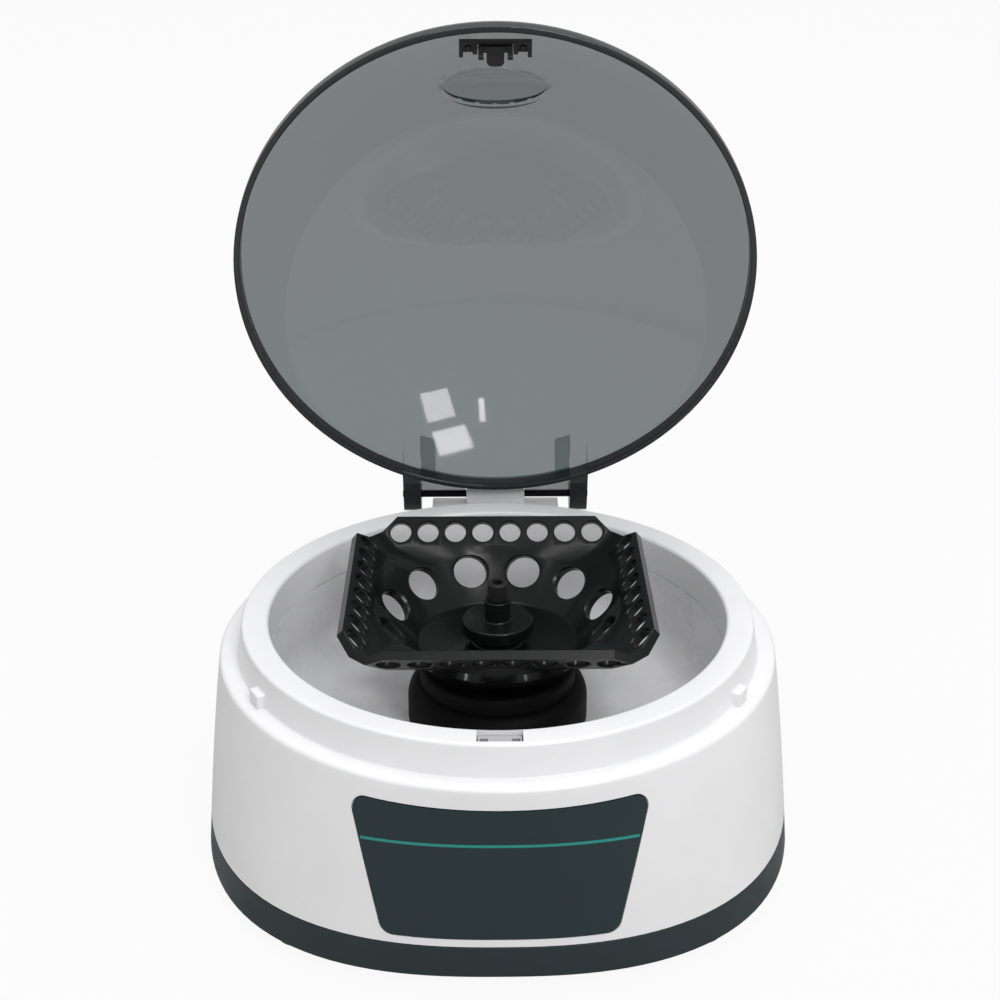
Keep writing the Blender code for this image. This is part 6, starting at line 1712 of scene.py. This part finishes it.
@dataclass
class RearPanel:
    """Recessed rear panel with the supply inlet and the rocker switch."""

    half: float = 0.0310
    low_z: float = 0.0102
    top_z: float = 0.0307
    face_y: float = 0.0825
    inside_y: float = 0.0800
    rim: float = 0.0015
    level: float = 0.0202
    jack_x: float = -0.0150
    jack_r: float = 0.0055
    flange_r: float = 0.0072
    flange: float = 0.0016
    jack_long: float = 0.0130
    bore_r: float = 0.0036
    bore_deep: float = 0.0105
    pin_r: float = 0.0010
    pin_long: float = 0.0060
    rocker_x: float = 0.0140
    frame_half: Pair = (0.0105, 0.0074)
    body_half: Pair = (0.0093, 0.0062)
    open_half: Pair = (0.0083, 0.0052)
    rocker_half: Pair = (0.0074, 0.0047)
    rocker_proud: float = 0.0016
    rocker_thick: float = 0.0044
    rocker_deep: float = 0.0100
    tilt: float = math.radians(8)

    def build(self) -> None:
        """Build and dress the panel and what it holds."""
        self._panel()
        self._jack()
        self._rocker()

    def _window(self, name: str, half: Pair, near: float, far: float, ease: float) -> bpy.types.Object:
        """A block with rounded corners about the rocker's place.

        Args:
            name: Name of the object.
            half: Half sizes along X and Z.
            near: Its inner face.
            far: Its outer face.
            ease: Radius of its four corners.

        Returns:
            The block.
        """
        x, z = half
        corners = [
            (self.rocker_x + sign_x * x, self.level + sign_z * z, ease)
            for sign_x, sign_z in ((-1, -1), (1, -1), (1, 1), (-1, 1))
        ]
        return prism(name, filleted(corners, closed=True), near, far, Way.Y)

    def _panel(self) -> None:
        """The panel, trimmed to the case's outer form."""
        item = block("back_panel", (-self.half, self.inside_y, self.low_z),
                     (self.half, FORM.base_half + OVERRUN, self.top_z))
        rim = self.rim
        grown = (self.body_half[0] + GAP, self.body_half[1] + GAP)
        work(item, Cut.AWAY, [
            block("recess", (rim - self.half, self.face_y, self.low_z + rim),
                  (self.half - rim, FORM.base_half + 2 * OVERRUN, self.top_z - rim)),
            self._window("window", grown, self.inside_y - OVERRUN, self.face_y + OVERRUN, 0.0005),
            rod("hole", (self.jack_x, self.inside_y - OVERRUN, self.level),
                (self.jack_x, self.face_y + OVERRUN, self.level), self.jack_r + GAP, MID_STEPS),
        ])
        trim = FORM.skin("trim", [corner[:2] for corner in FORM.wall_path(0.0, FORM.shelf_z, -GAP)], closed=False)
        work(item, Cut.SHARED, [trim])
        dress(shade(item), FINISHES.case_white, "base", "rear_panel")

    def _jack(self) -> None:
        """The round inlet and its centre pin."""
        face = self.face_y + GAP
        mouth = face + self.flange
        long = self.jack_long
        item = drill("supply_inlet", filleted([
            (0.0, self.flange - self.bore_deep, 0.0), (self.bore_r, self.flange - self.bore_deep, 0.0),
            (self.bore_r, self.flange, 0.0004), (self.flange_r, self.flange, 0.0006),
            (self.flange_r, 0.0, 0.0), (self.jack_r, 0.0, 0.0), (self.jack_r, -long, 0.0),
            (0.0, -long, 0.0),
        ]), (self.jack_x, face, self.level), (0, 1, 0), MID_STEPS)
        dress(shade(item), FINISHES.matt_black, "base", "power_jack")
        low = mouth - self.bore_deep + GAP
        pin = drill("inlet_pin", filleted([
            (0.0, 0.0, 0.0), (self.pin_r, 0.0, 0.0), (self.pin_r, self.pin_long, 0.0006),
            (0.0, self.pin_long, 0.0),
        ]), (self.jack_x, low, self.level), (0, 1, 0))
        dress(shade(pin), FINISHES.steel, "base", "jack_pin")

    def _rocker(self) -> None:
        """The switch's frame, and the rocker that lies tipped in it."""
        face = self.face_y + GAP
        front = face + 0.0016
        back = face - self.rocker_deep
        item = soften(self._window("switch_frame", self.frame_half, face, front, 0.0008), 0.0003)
        work(item, Cut.ADD, [self._window("well", self.body_half, back, face + GAP, 0.0004)])
        work(item, Cut.AWAY, [self._window("well", self.open_half, back + 0.0010, front + OVERRUN, 0.0003)])
        dress(shade(item), FINISHES.matt_black, "base", "rocker_frame")
        half_x, half_z = self.rocker_half
        tip, middle = front + self.rocker_proud, front + self.rocker_proud / 2
        base = front - self.rocker_thick / 2
        outline = filleted([
            (-half_x, tip, 0.0004), (0.0, middle, 0.012), (half_x, tip, 0.0004), (half_x, base, 0.0),
            (half_x / 2, base - self.rocker_thick / 2, 0.0),
            (-half_x / 2, base - self.rocker_thick / 2, 0.0), (-half_x, base, 0.0),
        ], closed=True)
        rocker = prism("switch_rocker", outline, -half_z, half_z, Way.Z)
        self._marks(rocker, half_x, middle)
        pivot = Vector((0, front - self.rocker_thick, 0))
        spot = Vector((self.rocker_x, front - self.rocker_thick, self.level))
        turn = Matrix.Rotation(self.tilt, 4, "Z")
        rocker.data.transform(Matrix.Translation(spot) @ turn @ Matrix.Translation(-pivot))
        dress(shade(rocker), FINISHES.rotor_black, "rocker", "power_rocker")

    def _marks(self, rocker: bpy.types.Object, half_x: float, middle: float) -> None:
        """Sink a bar at one end of the rocker and a ring at the other.

        Args:
            rocker: The rocker, round its own centre.
            half_x: Its half length.
            middle: Where its valley lies.
        """
        deep = middle + 0.0002
        away = 0.55 * half_x
        bar = block("mark", (-away - 0.00025, deep, -0.0015), (-away + 0.00025, deep + OVERRUN, 0.0015))
        ring = drill("mark", [(0.0011, 0.0), (0.0016, 0.0), (0.0016, OVERRUN), (0.0011, OVERRUN)],
                     (away, deep, 0), (0, 1, 0))
        work(rocker, Cut.AWAY, [bar, ring])


@dataclass
class Insides:
    """Pieces inside the case, which keep their shape and get their finish."""

    nodes: dict[str, tuple[str, ...]] = field(default_factory=lambda: {
        "plated": ("motor_can", "motor_end_cap", "motor_mount_plate", "jack_nut"),
        "steel": (
            "bearing_lower", "bearing_upper", "board_screw_1", "board_screw_2", "isolator_screw_1",
            "isolator_screw_2", "isolator_screw_3", "motor_screw_1", "motor_screw_2",
        ),
        "rubber": ("motor_isolator_1", "motor_isolator_2", "motor_isolator_3"),
        "magnet": ("motor_magnet",),
        "copper": ("motor_stator",),
        "alloy": ("heat_sink",),
        "board": ("control_board",),
        "case_white": ("terminal_block",),
        "tray_slate": ("board_capacitor",),
        "matt_black": ("driver_chip", "lid_switch", "switch_plunger"),
        "lead_red": ("jack_lead",),
        "lead_blue": ("motor_lead",),
        "lead_black": ("rocker_lead", "switch_lead"),
    })

    def build(self) -> None:
        """Dress every node that keeps its own shape."""
        for kind, names in self.nodes.items():
            finish = getattr(FINISHES, kind)
            for name in names:
                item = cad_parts[name]
                item.data.materials.clear()
                item.data.materials.append(finish.material())
                LOG.info("%s keeps its shape", name)


@dataclass
class Studio:
    """Pale floor, soft light and the camera."""

    floor_z: float = -0.0040
    floor_half: float = 12.0
    floor_tone: float = 0.5
    floor_glow: float = 0.93
    lens: float = 61.92
    sensor: float = 36.0
    camera_at: Point = (-0.0040, -0.4708, 0.3175)
    pitch: float = math.radians(24.346)
    yaw: float = math.radians(-0.581)
    sky: float = 0.62

    def build(self) -> None:
        """Set up everything round the object."""
        self._floor()
        self._world()
        self._lamp("right_window", (0.82, -1.46, 1.40), (0.42, 0.42), 7.0)
        self._lamp("high_window", (0.60, -1.16, 1.79), (0.50, 0.36), 9.0)
        self._lamp("narrow_window", (0.20, -1.56, 1.52), (0.08, 0.35), 1.5)
        self._lamp("top_panel", (0.0, 0.3, 1.8), (1.1, 1.1), 13.0)
        self._camera()
        bpy.context.scene.view_settings.view_transform = "Standard"

    def _floor(self) -> None:
        """A wide pale floor that shows white where nothing shades it."""
        shape = bmesh.new()
        bmesh.ops.create_grid(shape, x_segments=4, y_segments=4, size=self.floor_half)
        bmesh.ops.translate(shape, vec=(0, 0, self.floor_z), verts=shape.verts)
        floor = new_piece("studio_floor", shape)
        paint = bpy.data.materials.new("floor_paper")
        paint.use_nodes = True
        tree = paint.node_tree
        shader = tree.nodes["Principled BSDF"]
        shader.inputs["Base Color"].default_value = (self.floor_tone, self.floor_tone, self.floor_tone, 1)
        shader.inputs["Roughness"].default_value = 0.9
        glow = tree.nodes.new("ShaderNodeEmission")
        glow.inputs["Color"].default_value = (1, 1, 1, 1)
        rays = tree.nodes.new("ShaderNodeLightPath")
        seen = tree.nodes.new("ShaderNodeMath")
        seen.operation = "MAXIMUM"
        tree.links.new(rays.outputs["Is Camera Ray"], seen.inputs[0])
        tree.links.new(rays.outputs["Is Transmission Ray"], seen.inputs[1])
        share = tree.nodes.new("ShaderNodeMath")
        share.operation = "MULTIPLY"
        share.inputs[1].default_value = self.floor_glow
        tree.links.new(seen.outputs[0], share.inputs[0])
        mix = tree.nodes.new("ShaderNodeMixShader")
        tree.links.new(share.outputs[0], mix.inputs["Fac"])
        tree.links.new(shader.outputs["BSDF"], mix.inputs[1])
        tree.links.new(glow.outputs["Emission"], mix.inputs[2])
        tree.links.new(mix.outputs["Shader"], tree.nodes["Material Output"].inputs["Surface"])
        floor.data.materials.append(paint)

    def _world(self) -> None:
        """A white surround that lights the object less than it shows."""
        world = bpy.data.worlds.new("surround")
        world.use_nodes = True
        tree = world.node_tree
        back = tree.nodes["Background"]
        back.inputs["Color"].default_value = (1, 1, 1, 1)
        rays = tree.nodes.new("ShaderNodeLightPath")
        seen = tree.nodes.new("ShaderNodeMath")
        seen.operation = "MAXIMUM"
        tree.links.new(rays.outputs["Is Camera Ray"], seen.inputs[0])
        tree.links.new(rays.outputs["Is Transmission Ray"], seen.inputs[1])
        level = tree.nodes.new("ShaderNodeMapRange")
        level.inputs["To Min"].default_value = self.sky
        level.inputs["To Max"].default_value = 1.0
        tree.links.new(seen.outputs[0], level.inputs["Value"])
        tree.links.new(level.outputs["Result"], back.inputs["Strength"])
        bpy.context.scene.world = world

    def _lamp(self, name: str, spot: Point, size: Pair, power: float) -> None:
        """A soft lamp with four corners that looks at the object.

        Args:
            name: Name of the lamp.
            spot: Its place.
            size: Its width and height.
            power: Its power in watts.
        """
        data = bpy.data.lights.new(name, "AREA")
        data.shape = "RECTANGLE"
        data.size, data.size_y = size
        data.energy = power
        lamp = bpy.data.objects.new(name, data)
        lamp.location = spot
        lamp.rotation_mode = "QUATERNION"
        lamp.rotation_quaternion = (Vector((0, 0, 0.06)) - Vector(spot)).to_track_quat("-Z", "Y")
        bpy.context.scene.collection.objects.link(lamp)

    def _camera(self) -> None:
        """The camera at the photograph's place."""
        data = bpy.data.cameras.new("view")
        data.sensor_width = self.sensor
        data.lens = self.lens
        camera = bpy.data.objects.new("view", data)
        camera.location = self.camera_at
        camera.rotation_euler = (math.pi / 2 - self.pitch, 0, self.yaw)
        bpy.context.scene.collection.objects.link(camera)
        bpy.context.scene.camera = camera


def main() -> None:
    """Build every piece in order, then the studio round it."""
    logging.basicConfig(level=logging.INFO, format="%(message)s")
    lid = Lid()
    Housing().build()
    FrontPanel().build()
    Tray().build()
    Chamber().build()
    Rotor().build()
    HingeBlock().build(lid)
    lid.build()
    RearPanel().build()
    Insides().build()
    Studio().build()


if __name__ == "__main__":
    main()
